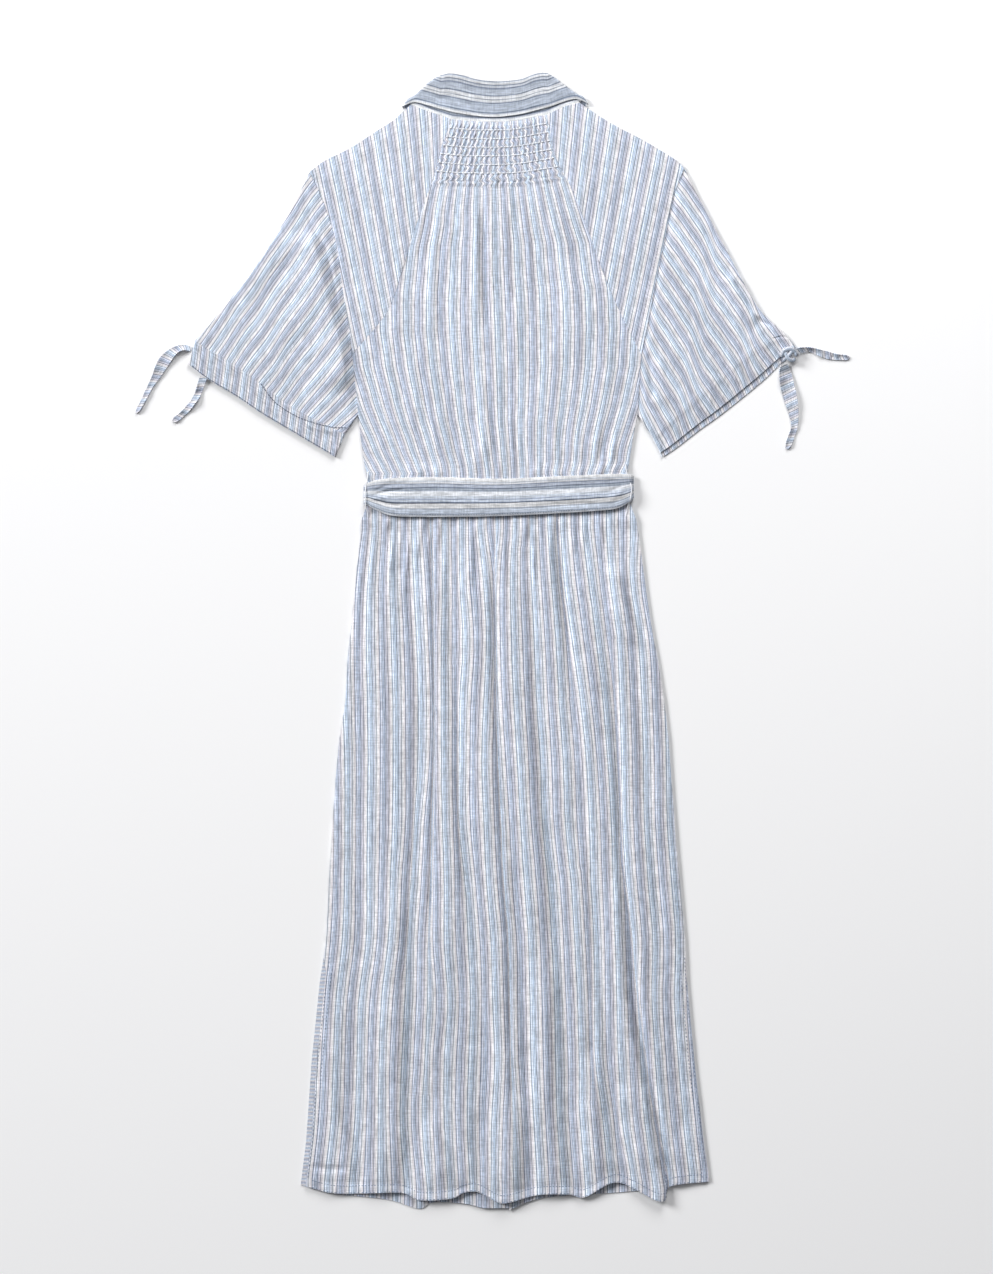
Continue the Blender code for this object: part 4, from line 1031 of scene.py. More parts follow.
@dataclass
class BackBodice:
    """Back bodice: smocked at the neck, fluted below it and gathered into the waist."""

    smock_length: float = 84.0
    smock_grid_rows: int = 92
    raglan_rows: int = 64
    side_rows: int = 50
    columns: int = 173
    smock_rows: int = 7
    smock_step: float = 9.4
    puckers: int = 24
    smock_relief: float = 2.5
    # How far the stripes step to and fro in the smocking
    broken_step: float = 1.2
    # How far the deepest trough may go under the plain cloth, and how much of the relief the sash presses
    deepest: float = -1.3
    pressed: float = 0.85
    soft_edge: float = 4.0
    # Share of the plain cloth's width that shows across the back, by height
    fan: Points = (
        (158, 0.705), (167, 0.711), (174, 0.713), (180, 0.7205), (187, 0.74), (220, 0.80), (260, 0.87),
        (300, 0.93), (340, 0.96), (383, 0.96), (432, 0.91), (487, 0.76), (530, 0.62), (575, 0.55),
    )
    # Where the thread of the middle stripe lies, by height
    middle: Points = ((158, 12.0), (187, 10.0), (240, 5.0), (300, 3.0), (400, -1.0), (575, -2.0))
    wrinkles: tuple[Crease, ...] = (
        Crease(((-9, 478), (-9, 458), (-10, 435), (-10, 414), (-7, 373), (-6, 334)), -2.88, 2.2, 26, 0.2),
        Crease(((-18, 482), (-17, 438), (-16, 400), (-14, 351)), 2.64, 5, 36, -0.35),
        Crease(((-2, 476), (-2, 438), (-2, 405), (2, 362)), 1.56, 4, 34),
        Crease(((-64, 432), (-64, 373), (-60, 323)), 1.92, 6, 36, -0.4),
        Crease(((25, 383), (26, 334), (26, 285)), 1.56, 5, 34, -0.3),
        Crease(((-13, 294), (-7, 258), (-3, 223), (-1, 196)), 1.8, 4, 26, -0.4),
        Crease(((-62, 264), (-56, 231), (-50, 200)), 1.8, 6, 22, -0.3),
        Crease(((89, 432), (93, 362), (90, 285)), 3.12, 24, 60, 0.1),
        Crease(((-74, 340), (-82, 285), (-89, 220)), 1.08, 7, 36, -0.3),
        Crease(((119, 427), (122, 351), (117, 264)), 1.2, 8, 44, -0.3),
        Crease(((-103, 373), (-110, 307), (-106, 242)), 0.96, 7, 40, -0.3),
    )

    def __post_init__(self) -> None:
        """Lays out the grid, and draws the flutes and the gathers by lot."""
        left, right = (
            np.vstack([self._graded(raglan),
                       even_line([(row[side], row[0]) for row in BODICE_SIDES], self.side_rows)[1:]])
            for side, raglan in ((1, RAGLAN_LEFT), (2, RAGLAN_RIGHT))
        )
        top = smooth_line(NECK_BACK, self.columns)
        bottom = even_line([left[-1], right[-1]], self.columns)
        self.outline = Outline(top, bottom, left, right, top_reach=0.5)
        random = np.random.default_rng(RANDOM_SEED)
        self.flutes = self._flutes(random)
        self.gathers = Gathers(random, WAIST_Y + 18.0, 1.0, self._fan_x)

    def _graded(self, points: Points) -> Array:
        """Places along a raglan seam, closer together beside the smocking.

        Args:
            points: the seam's own points, from the neck down.

        Returns:
            The places, one a row.
        """
        line = smooth_line(points, 800)
        lengths = walked(line)
        near = np.linspace(0, self.smock_length, self.smock_grid_rows)
        far = np.linspace(self.smock_length, lengths[-1], self.raglan_rows)[1:]
        wanted = np.concatenate([near, far])
        return np.stack([np.interp(wanted, lengths, column) for column in line.T], axis=1)

    def _fan_x(self, cloth_x: float, y: float) -> float:
        """Where a thread of the cloth lies at a height."""
        return np.interp(y, *np.array(self.middle).T) + cloth_x * np.interp(y, *np.array(self.fan).T)

    def _flutes(self, random: np.random.Generator) -> list[Crease]:
        """Soft pleats that fall from the smocking and die out down the back.

        Args:
            random: the source of their unevenness.

        Returns:
            One crease for each pleat.
        """
        found = []
        for place in np.linspace(-88, 92, 21):
            place += random.uniform(-2.2, 2.2)
            length = random.uniform(50, 170)
            heights = np.linspace(508, 508 - length, 5)
            path = tuple((float(self._fan_x(place, y)), float(y)) for y in heights)
            found.append(Crease(path, random.uniform(0.8, 1.6), random.uniform(2.2, 3.6), length * 0.35))
        return found

    def _smock(self, u: Array, down: Array) -> Array:
        """Puckers between the elastic rows.

        Args:
            u: share of the width, from the left.
            down: how many elastic rows down from the neck seam.

        Returns:
            Millimetres over the plain cloth.
        """
        between = np.abs(np.sin(math.pi * down)) ** 0.5
        band = np.floor(down)
        shift = 0.14 * np.sin(band * 2.4 + 5.0 * u) + 0.08 * np.sin(2 * math.pi * down + 11.0 * u)
        pucker = 0.5 - 0.5 * np.cos(2 * math.pi * (self.puckers * u + shift))
        uneven = 0.85 + 0.25 * np.sin(band * 5.1 + 37.0 * u) * np.sin(band * 3.3 + 61.0 * u)
        edge = np.clip(np.minimum(u, 1 - u) * self.puckers * 0.8, 0.0, 1.0)
        inside = ramp(down - self.smock_rows, 0.0, 0.7) * np.clip(down * 1.5, 0.0, 1.0)
        return self.smock_relief * (0.1 + 0.9 * pucker) * (0.4 + 0.6 * between) * edge * inside * uneven

    def _broken(self, u: Array, down: Array) -> Array:
        """How far the stripes step to and fro between the elastic rows.

        Args:
            u: share of the width, from the left.
            down: how many elastic rows down from the neck seam.

        Returns:
            Millimetres across the cloth.
        """
        inside = ramp(down - self.smock_rows, 0.0, 1.0) * np.clip(down * 1.5, 0.0, 1.0)
        steps = np.sin(2 * math.pi * down + 9.0 * u) + np.sin(8.6 * down + 31.0 * u)
        return inside * self.broken_step * steps

    def surface(self, x: Array, y: Array) -> Array:
        """Height of the outer face without its smocking.

        Args:
            x, y: places across and up.

        Returns:
            Millimetres over the floor.
        """
        relief = creases(self.wrinkles, x, y) + creases(self.flutes, x, y) + self.gathers.relief(x, y)
        pressed = 1.0 - self.pressed * ramp(np.abs(y - WAIST_Y), SASH_FLAT - 8.0, 8.0)
        relief = relief + rumple(x, y, 3, 0.22)
        edge = np.minimum(x - side_at(BODY_EDGES, y, 1), side_at(BODY_EDGES, y, 2) - x)
        inside = np.clip(edge / self.soft_edge, 0.3, 1.0)
        return back_rise(x, y) + WALL + np.maximum(relief, self.deepest) * pressed * inside

    def make(self, finishes: Finishes) -> None:
        """Builds the piece.

        Args:
            finishes: the materials.
        """
        x, y = self.outline.x, self.outline.y
        u = np.linspace(0, 1, self.columns)[None, :] + np.zeros_like(x)
        down = (y[:1] - y) / self.smock_step
        plain = self.surface(x, y)
        middle = np.interp(y, *np.array(self.middle).T)
        cloth = stretched_cloth(x, y, plain, np.interp(y, *np.array(self.fan).T), middle)
        cloth[..., 0] += self._broken(u, down)
        upper = with_height(self.outline.places, plain + self._smock(u, down))
        piece = shell("BackBodice", upper, upper - [0, 0, CLOTH], cloth)
        seat(piece, finishes.body, "back_bodice")

    def stitch(self, thread: Thread) -> None:
        """Sews the elastic rows of the smocking.

        Args:
            thread: takes the stitches.
        """
        x, y = self.outline.x, self.outline.y
        columns = range(2, self.columns - 2, 3)
        for row in range(1, self.smock_rows):
            depth = row * self.smock_step
            path = [(np.interp(depth, y[0, k] - y[:, k], x[:, k]), y[0, k] - depth) for k in columns]
            thread.run(np.array(path), self.surface, pitch=3.4, share=0.8, lift=1.0)


@dataclass
class Gathers:
    """Uneven small pleats that run from the waist seam into the cloth and die out.

    The direction is 1 for gathers above the seam and -1 for those below it. The fan gives where a thread
    lies at a height.
    """

    random: np.random.Generator
    start_y: float
    direction: float
    fan: Callable[[float, float], float]
    span: tuple[float, float] = (-150.0, 166.0)
    lengths: tuple[float, ...] = (30.0, 45.0, 70.0, 110.0)
    points: int = 5

    def __post_init__(self) -> None:
        """Draws the pleats by lot, from left to right."""
        self.items = []
        place, end = self.span
        shares = np.linspace(0, 1, self.points)
        while place < end:
            place += self.random.uniform(5.5, 11.0)
            length = self.random.choice(self.lengths) * self.random.uniform(0.8, 1.2)
            lean = self.random.uniform(-3.0, 3.0)
            heights = self.start_y + self.direction * (np.linspace(0, length, self.points) - 8.0)
            sway = self.random.uniform(-1.2, 1.2)
            path = tuple(
                (float(self.fan(place, y) + lean * t + sway * math.sin(math.pi * 2 * t)), float(y))
                for y, t in zip(heights, shares)
            )
            height = self.random.uniform(1.3, 2.9)
            self.items.append(Crease(path, height, self.random.uniform(1.7, 3.1), length * 0.55,
                                     self.random.uniform(-0.3, 0.3)))

    def relief(self, x: Array, y: Array) -> Array:
        """Height of the pleats at each place."""
        return creases(self.items, x, y)


def stretched_cloth(x: Array, y: Array, z: Array, fan: Array, middle: Array, share: float = 0.7) -> Array:
    """Millimetres across and along the cloth, counting the cloth that goes up and down each fold.

    Args:
        x, y: places across and up, in a grid whose rows run across the dress.
        z: heights.
        fan: share of the cloth's width that shows.
        middle: where the middle thread lies.
        share: how much of the folds' extra cloth is counted.

    Returns:
        A grid of (across, along).
    """
    step = np.diff(x, axis=1)
    rise = np.diff(z, axis=1) / np.maximum(step, TINY)
    fan_step = 0.5 * (fan[:, 1:] + fan[:, :-1])
    cloth_step = step * (1.0 + share * (np.sqrt(1.0 + rise ** 2) - 1.0)) / fan_step
    across = np.concatenate([np.zeros((x.shape[0], 1)), np.cumsum(cloth_step, axis=1)], axis=1)
    start = [np.interp(row_m.mean(), row_x, row_u) for row_m, row_x, row_u in zip(middle, x, across)]
    return np.stack([across - np.array(start)[:, None], y], axis=-1)


@dataclass
class Shoulder:
    """Raglan shoulder piece between the neck, the shoulder fold, the armhole and the raglan seam."""

    side: Side
    neck: Places
    shoulder: Places
    armhole: Places
    raglan: Places
    lay: Lay
    rows: int = 96
    columns: int = 64
    edge_strip: float = 5.6
    edge_slope: float = 1.4
    edge_relief: float = 0.5
    # The ridge beside the raglan seam, as (distance, height, width)
    ridge: tuple[float, float, float] = (3.0, 0.2, 2.2)

    def __post_init__(self) -> None:
        """Lays out the grid."""
        self.armhole_line = smooth_line(self.armhole, 200)
        self.raglan_line = smooth_line(self.raglan, 200)
        self.outline = Outline(smooth_line(self.neck, self.columns), smooth_line(self.armhole, self.columns),
                               smooth_line(self.shoulder, self.rows), smooth_line(self.raglan, self.rows))

    def surface(self, x: Array, y: Array) -> Array:
        """Height of the outer face, with a turned edge at the armhole and a ridge at the raglan seam.

        Args:
            x, y: places across and up.

        Returns:
            Millimetres over the floor.
        """
        to_armhole = distance_from(self.armhole_line, x, y)
        to_raglan = distance_from(self.raglan_line, x, y)
        strip = self.edge_relief * ramp(to_armhole, self.edge_strip - self.edge_slope, self.edge_slope)
        away, height, width = self.ridge
        ridge = height * np.exp(-((to_raglan - away) / width) ** 2)
        return back_rise(x, y) + WALL + strip + ridge + rumple(x, y, 5, 0.2)

    def make(self, finishes: Finishes) -> None:
        """Builds the piece.

        Args:
            finishes: the materials.
        """
        places = self.outline.places
        upper = with_height(places, self.surface(self.outline.x, self.outline.y))
        piece = shell(f"Shoulder{self.side.title}", upper, upper - [0, 0, CLOTH], self.lay.cloth(places))
        seat(piece, finishes.body, f"shoulder_{self.side.word}")
        f"FrontBodice{self.side.title}"

    def stitch(self, thread: Thread) -> None:
        """Sews the turned armhole edge."""
        inward = self.edge_strip if self.side is Side.LEFT else -self.edge_strip
        thread.run(smooth_line(self.armhole_line[::12], 60) + [inward, 0.0], self.surface,
                   pitch=3.4, share=0.5, lift=0.02)


@dataclass
class Tube:
    """A sleeve or cuff pressed flat: an outer and an inner skin all round.

    The height is that of the flat upper face, and the relief stands on it. The upper layer ends at a
    share of the length.
    """

    outline: Outline
    height: float
    relief: Surface
    upper_end: float = 1.0
    # How much closer together the places are near both edges
    crowding: float = 0.88

    def _columns(self, count: int) -> Array:
        """Places across from 0 to 1, closer together near both edges."""
        t = np.linspace(0, 1, count)
        return t - self.crowding * np.sin(2 * math.pi * t) / (2 * math.pi)

    def _skin(self, half: float, inset: float) -> tuple[Array, Array]:
        """Lays a skin round the tube.

        Args:
            half: half of the skin's thickness from face to face.
            inset: how far it stays inside the outline.

        Returns:
            The ring rows, and the flat place of each ring point.
        """
        places = self.outline.places
        width = np.linalg.norm(places[:, -1] - places[:, 0], axis=1)[:, None]
        u = self._columns(places.shape[1])[None, :] + np.zeros((places.shape[0], 1))
        start = inset / width
        u_in = start + u * (1 - 2 * start)
        flat = self._across(places, u_in)
        upper_flat = self._shorter(flat) if self.upper_end < 1.0 else flat
        edge = np.minimum(u_in - start, 1 - start - u_in) * width
        share = np.sqrt(np.clip(1 - (1 - np.minimum(edge / half, 1.0)) ** 2, 0.0, 1.0))
        middle = self.height / 2
        top = middle + half * share + self.relief(upper_flat[..., 0], upper_flat[..., 1]) * share
        lower = with_height(flat, middle - half * share)
        upper = with_height(upper_flat, top)[:, -2:0:-1]
        return np.concatenate([lower, upper], axis=1), np.concatenate([flat, upper_flat[:, -2:0:-1]], axis=1)

    @staticmethod
    def _across(places: Array, u: Array) -> Array:
        """Reads places at fractions across each row.

        Args:
            places: a grid of places.
            u: the fractions, one row for each row of the grid.

        Returns:
            A grid of places.
        """
        count = places.shape[1]
        position = np.clip(u, 0, 1) * (count - 1)
        index = np.minimum(position.astype(int), count - 2)
        part = (position - index)[..., None]
        row = np.arange(places.shape[0])[:, None]
        return places[row, index] * (1 - part) + places[row, index + 1] * part

    def _shorter(self, flat: Array) -> Array:
        """Draws the rows of a grid up so that they end at the upper layer's share of the length."""
        shares = np.linspace(0, 1, flat.shape[0]) * self.upper_end + np.zeros((flat.shape[1], 1))
        return self._across(flat.swapaxes(0, 1), shares).swapaxes(0, 1)

    def make(self, name: str, lay: Lay, inner_lay: Lay) -> Piece:
        """Builds the closed shell.

        Args:
            name: the object's name.
            lay: the stripes of the outer skin.
            inner_lay: the stripes of the inner skin.

        Returns:
            The new object.
        """
        outer, outer_flat = self._skin(self.height / 2, 0.0)
        inner, inner_flat = self._skin(self.height / 2 - CLOTH, CLOTH)
        rows, ring = outer.shape[:2]
        count = rows * ring
        number = np.arange(count).reshape(rows, ring)
        ahead = np.roll(number, -1, axis=1)
        skin = np.stack([number[:-1], ahead[:-1], ahead[1:], number[1:]], axis=-1).reshape(-1, 4)
        rims = [
            np.stack([ahead[0], number[0], number[0] + count, ahead[0] + count], axis=-1),
            np.stack([number[-1], ahead[-1], ahead[-1] + count, number[-1] + count], axis=-1),
        ]
        faces = np.vstack([skin, skin[:, ::-1] + count] + rims)
        points = np.vstack([outer.reshape(-1, 3), inner.reshape(-1, 3)])
        cloth = np.vstack([lay.cloth(outer_flat).reshape(-1, 2), inner_lay.cloth(inner_flat).reshape(-1, 2)])
        return make_mesh(name, points, faces, cloth)


@dataclass
class Sleeve:
    """A short wide sleeve and its cuff, both pressed flat."""

    side: Side
    armhole: Places
    top_fold: Places
    cuff_seam: Places
    cuff_hem: Places
    lay: Lay
    cuff_lay: Lay
    wrinkles: tuple[Crease, ...]
    cuff_wrinkles: tuple[Crease, ...]
    upper_end: float = 1.0
    rows: int = 92
    cuff_rows: int = 22
    columns: int = 111
    # How far the sleeve dips under the body's edge, and the cuff's plain face under its fullest height
    dip: float = 1.3
    cuff_sag: float = 0.3
    # How far the cuff's upper layer sinks to its hem where that ends short
    low_hem: float = 1.2

    def __post_init__(self) -> None:
        """Lays out the grids of the sleeve and the cuff."""
        edge = smooth_line(self.armhole, 90)
        below = np.array([(row[self.side.value], row[0]) for row in BODICE_SIDES[1:3]], float)
        self.end = even_line(np.vstack([edge, below]), self.columns)
        self.seam = smooth_line(self.cuff_seam, self.columns)
        self.hem = smooth_line(self.cuff_hem, self.columns)
        self.outline = Outline(self.end, self.seam, smooth_line(self.top_fold, self.rows),
                               even_line([self.end[-1], self.seam[-1]], self.rows))
        self.cuff_outline = Outline(self.seam, self.hem,
                                    even_line([self.seam[0], self.hem[0]], self.cuff_rows),
                                    even_line([self.seam[-1], self.hem[-1]], self.cuff_rows))

    def relief(self, x: Array, y: Array) -> Array:
        """Folds of the upper layer; it dips beside the armhole seam, under the body's edge."""
        near = distance_from(self.end, x, y)
        return creases(self.wrinkles, x, y) + rumple(x, y, 9, 0.3) - self.dip * ramp(near, 1.0, 7.0)

    def cuff_relief(self, x: Array, y: Array) -> Array:
        """Folds of the cuff, with a ridge of seam allowance below its seam.

        Args:
            x, y: places across and up.

        Returns:
            Millimetres over or under the flat upper face.
        """
        to_seam = distance_from(self.seam, x, y)
        ridge = 0.35 * np.exp(-((to_seam - 4.0) / 3.0) ** 2)
        low = 0.0 if self.upper_end == 1.0 else self.low_hem * ramp(distance_from(self.hem, x, y), 4.0, 30.0)
        return ridge + creases(self.cuff_wrinkles, x, y) + rumple(x, y, 13, 0.15) - self.cuff_sag - low

    def make(self, finishes: Finishes) -> None:
        """Builds the sleeve and the cuff.

        Args:
            finishes: the materials.
        """
        tube = Tube(self.outline, SLEEVE_HEIGHT, self.relief)
        sleeve = tube.make(f"Sleeve{self.side.title}", self.lay, self.lay)
        seat(sleeve, finishes.body, f"sleeve_{self.side.word}")
        upper_lay = self.cuff_lay if self.upper_end == 1.0 else self.lay
        tube = Tube(self.cuff_outline, CUFF_HEIGHT, self.cuff_relief, self.upper_end)
        cuff = tube.make(f"Cuff{self.side.title}", upper_lay, self.cuff_lay)
        seat(cuff, finishes.cuff, f"cuff_{self.side.word}")

    def _cuff_surface(self, x: Array, y: Array) -> Array:
        """Height of the cuff's upper face."""
        return CUFF_HEIGHT + self.cuff_relief(x, y)

    def stitch(self, thread: Thread, seam_line: Points) -> None:
        """Sews the cuff to its sleeve where the upper layer's seam shows, and runs the thread almost unbroken
        along the cuff's hem, where the dark thread is a painted shadow line at the hem's edge.
        """
        thread.run(smooth_line(seam_line, 40), self._cuff_surface, pitch=3.4, share=0.7, lift=0.4)
        # Nearly unbroken run just inside the hem: a painted shadow line under the hem's edge, drawn as
        # stitches
        thread.run(self.hem[3:-3] + [0.5, 0.9], self._cuff_surface, pitch=3.4, share=0.9, lift=0.15)


@dataclass
class FrontBodice:
    """Half of the front bodice, flat under the back."""

    side: Side
    armhole: Places
    shoulder: Places
    neck: Places
    placket_x: float
    rows: int = 90
    side_rows: int = 40
    columns: int = 40

    def __post_init__(self) -> None:
        """Lays out the grid."""
        sides = even_line([(row[self.side.value], row[0]) for row in BODICE_SIDES], self.side_rows)[1:]
        outer = np.vstack([smooth_line(self.armhole, self.rows - self.side_rows + 1), sides])
        neck = smooth_line(self.neck, self.columns // 2)
        top = np.vstack([smooth_line(self.shoulder, self.columns // 2 + 1)[::-1], neck[1:]])
        waist = even_line([outer[-1], (self.placket_x, WAIST_Y)], len(top))
        edge = even_line([neck[-1], (self.placket_x, WAIST_Y)], self.rows)
        self.outline = Outline(top, waist, outer, edge, top_reach=0.6)

    def make(self, finishes: Finishes) -> None:
        """Builds the piece.

        Args:
            finishes: the materials.
        """
        x, y = self.outline.x, self.outline.y
        lower = with_height(self.outline.places, front_rise(x, y))
        piece = shell(f"FrontBodice{self.side.title}", lower + [0, 0, CLOTH], lower, self.outline.places)
        seat(piece, finishes.body, f"front_bodice_{self.side.word}")


@dataclass
class Skirt:
    """Skirt: a gathered back with soft folds and a lapped one, and two flat front halves."""

    rows: int = 300
    columns: int = 156
    front_rows: int = 150
    front_columns: int = 52
    hem_y: float = -596.0
    hem_reach: float = 60.0
    front_hem_y: float = -592.0
    shares: Points = ((-600, 0.92), (-60, 0.92), (20, 0.88), (122, 0.78), (165, 0.74))
    hill_gain: float = 1.2
    pressed: float = 0.85
    deepest: float = -1.4
    # Width of the turned edge at the slits, and how much its stripes are drawn together along it
    facing: float = 9.0
    facing_gain: float = 3.1
    front_shift: float = 6.0
    # How much wider the gathers fan out for each millimetre below the waist
    spread: float = 0.0009
    gathers_y: float = 139.0
    # Creases and lesser folds between the long valleys
    wrinkles: tuple[Crease, ...] = (
        Crease(((-183, -467), (-174, -499), (-165, -527), (-158, -554), (-158, -598)), 2.55, 9, 26, -0.4),
        Crease(((-104, -249), (-105, -336), (-104, -434), (-104, -510), (-102, -554), (-100, -598)),
               3.23, 13, 60, -0.4),
        Crease(((-60, -281), (-56, -347), (-51, -390), (-49, -429)), 1.87, 13, 40, -0.1),
        Crease(((-68, -513), (-63, -543), (-54, -568), (-44, -595)), 3.23, 10, 24, -0.35),
        Crease(((-40, -483), (-30, -527), (-26, -565), (-25, -598)), 1.53, 10, 26, -0.4),
        Crease(((26, -483), (23, -532), (22, -565), (25, -595)), 2.55, 14, 28, 0.3),
        Crease(((57, -336), (60, -390), (59, -434), (58, -478), (59, -521), (66, -554), (69, -595)),
               2.72, 12, 60, -0.4),
        Crease(((106, -445), (110, -499), (113, -543), (115, -592)), 3.4, 11, 34, -0.1),
        Crease(((141, -480), (152, -510), (164, -534), (175, -556), (184, -578)), 3.06, 8, 20, 0.2),
        Crease(((141, -251), (146, -314), (149, -374), (154, -412), (162, -448), (172, -483), (181, -518),
                (191, -587)), -2.55, 3.0, 30, 0.2),
        Crease(((132, -260), (137, -314), (140, -374), (146, -414), (152, -445)), 1.53, 5, 34, -0.4),
        Crease(((159, -314), (164, -390), (172, -445), (185, -499)), 1.53, 7, 34, 0.2),
        Crease(((-200, -571), (-179, -574), (-156, -573)), -1.9, 2.4, 8),
        Crease(((-190, -589), (-102, -591), (-79, -599), (-44, -597), (-16, -590)), -0.8, 2.6, 6),
        Crease(((-10, -595), (6, -601), (52, -593), (84, -593), (100, -596), (122, -584)), -0.8, 2.6, 6),
        Crease(((-57, 35), (-58, -42), (-53, -107), (-47, -162), (-43, -216), (-34, -271), (-26, -325),
                (-19, -358)), 1.54, 10.0, 44, -0.4),
        Crease(((-54, 98), (-53, 73), (-52, 46)), 1.26, 4, 16, -0.4),
        Crease(((63, 124), (66, 67), (71, 13), (78, -42)), 1.54, 7, 34, -0.4),
        Crease(((74, 133), (76, 84), (79, 40), (86, -9)), -1.26, 2.6, 30),
        Crease(((34, 2), (35, -63), (40, -129), (47, -194), (57, -249), (65, -314)), 1.4, 9, 50, -0.4),
        Crease(((132, 89), (139, 53), (143, 37), (153, 14), (161, -9)), 3.3, 6.5, 22, -0.45),
        Crease(((141, 69), (148, 50), (152, 36), (162, 14), (167, 0)), -1.1, 2.4, 14),
        Crease(((-7, 89), (-4, 2), (-1, -85)), 0.84, 5, 44, -0.4),
        Crease(((-99, 89), (-93, 24), (-89, -63), (-87, -129)), 0.98, 7, 44, -0.4),
        Crease(((106, -96), (106, -172), (104, -249), (106, -336)), 1.12, 9, 50, -0.4),
        Crease(((169, -162), (174, -205), (180, -240), (185, -271)), 1.05, 6, 24, -0.4),
        Crease(((-154, -227), (-153, -281), (-155, -347)), 1.12, 9, 44, -0.4),
        Crease(((-169, -96), (-165, -151), (-165, -205)), 0.91, 7, 30, -0.4),
    )

    def __post_init__(self) -> None:
        """Draws the gathers by lot and lays out the grid of the back."""
        random = np.random.default_rng(RANDOM_SEED + 1)
        self.gathers = Gathers(random, self.gathers_y, -1.0, self._fan_x)
        self.stripes = StripeMap(SKIRT_GUIDES, GUIDE_LEVELS, self.shares)
        self.level = np.linspace(WAIST_Y - HALF_GAP, self.hem_y, self.rows)
        slit = ramp(self.level, SLIT_TOP_Y - SLIT_EASE, SLIT_EASE)
        left = side_at(SKIRT_SIDES, self.level, 1) + SLIT_SHOW * slit + HALF_GAP
        right = side_at(SKIRT_SIDES, self.level, 2) - HALF_GAP
        u = np.linspace(0, 1, self.columns)[None, :]
        self.x = left[:, None] * (1 - u) + right[:, None] * u
        hem = smooth_line(HEM_BACK, 240)
        hem_y = np.interp(self.x[-1], hem[:, 0], hem[:, 1])
        blend = straight_ramp(self.level, self.hem_y, self.hem_reach)[:, None]
        self.y = self.level[:, None] + (hem_y[None, :] - self.hem_y) * blend

    def _fan_x(self, cloth_x: float, y: float) -> float:
        """Where a thread lies below the waist: it spreads with the sides."""
        return CENTRE_X + (cloth_x - CENTRE_X) * (1.0 + (self.gathers_y - y) * self.spread)

    def _hill(self, x: Array, y: Array) -> Array:
        """Height of the long folds between their valleys.

        Args:
            x, y: places across and up.

        Returns:
            Millimetres over the valleys.
        """
        left = side_at(SKIRT_SIDES, y, 1)
        right = side_at(SKIRT_SIDES, y, 2)
        valleys = [left] + [self._valley(row, y) for row in SKIRT_VALLEYS] + [right]
        lap = 1.0 - straight_ramp(-y, -LAP_TOP_Y, LAP_TOP_Y - LAP_FULL_Y)
        total = np.zeros_like(x)
        for index, (start, end) in enumerate(zip(valleys, valleys[1:])):
            part = np.clip((x - start) / (end - start), 0.0, 1.0)
            height = np.sin(math.pi * part) ** 0.9 * SKIRT_RISES[index]
            if index == LAPPED_FOLD:
                crest = np.where(part <= LAP_CREST, (part / LAP_CREST) ** 1.4, (1 - part) / (1 - LAP_CREST))
                height = height + LAP_RISE * crest * lap
            if index == LAPPED_FOLD + 1:
                height = height * (1.0 - 0.5 * lap)
            total = total + height * ((x >= start) & (x < end))
        return total * straight_ramp(y, FOLD_FULL_Y, FOLD_FADE) * self.hill_gain

    @staticmethod
    def _valley(row: tuple[float, ...], y: Array) -> Array:
        """Where a valley lies at each height, along a smooth line."""
        line = smooth_line(list(zip(row, FOLD_LINES_Y)), 60)[::-1]
        return np.interp(y, line[:, 1], line[:, 0])

    def surface(self, x: Array, y: Array) -> Array:
        """Height of the outer face of the back.

        Args:
            x, y: places across and up.

        Returns:
            Millimetres over the floor.
        """
        hill = self._hill(x, y)
        pressed = 1.0 - self.pressed * ramp(np.abs(y - WAIST_Y), SASH_FLAT - 8.0, 8.0)
        relief = creases(self.wrinkles, x, y) + self.gathers.relief(x, y) + rumple(x, y, 17, 0.3)
        relief = relief + self.stripes.relief(x, y) + rumple(x, y, 29, 0.3) * ramp(y, -430.0, 160.0)
        side = np.minimum(x - side_at(SKIRT_SIDES, y, 1), side_at(SKIRT_SIDES, y, 2) - x)
        relief = np.maximum(relief, self.deepest - hill) * pressed * np.clip(side / 5.0, 0.2, 1.0)
        return back_rise(x, y) + WALL + hill + relief

    def make(self, finishes: Finishes) -> None:
        """Builds the back and both front halves.

        Args:
            finishes: the materials.
        """
        x, y = self.x, self.y
        cloth = np.stack([self.stripes.across(x, self.level), y], axis=-1)
        upper = with_height(np.stack([x, y], axis=-1), self.surface(x, y))
        piece = shell("SkirtBack", upper, upper - [0, 0, CLOTH], cloth)
        seat(piece, finishes.body, "skirt_back")
        self._front(Side.LEFT, PLACKET_LEFT, HEM_FRONT_LEFT, finishes)
        self._front(Side.RIGHT, PLACKET_RIGHT, HEM_FRONT_RIGHT, finishes)

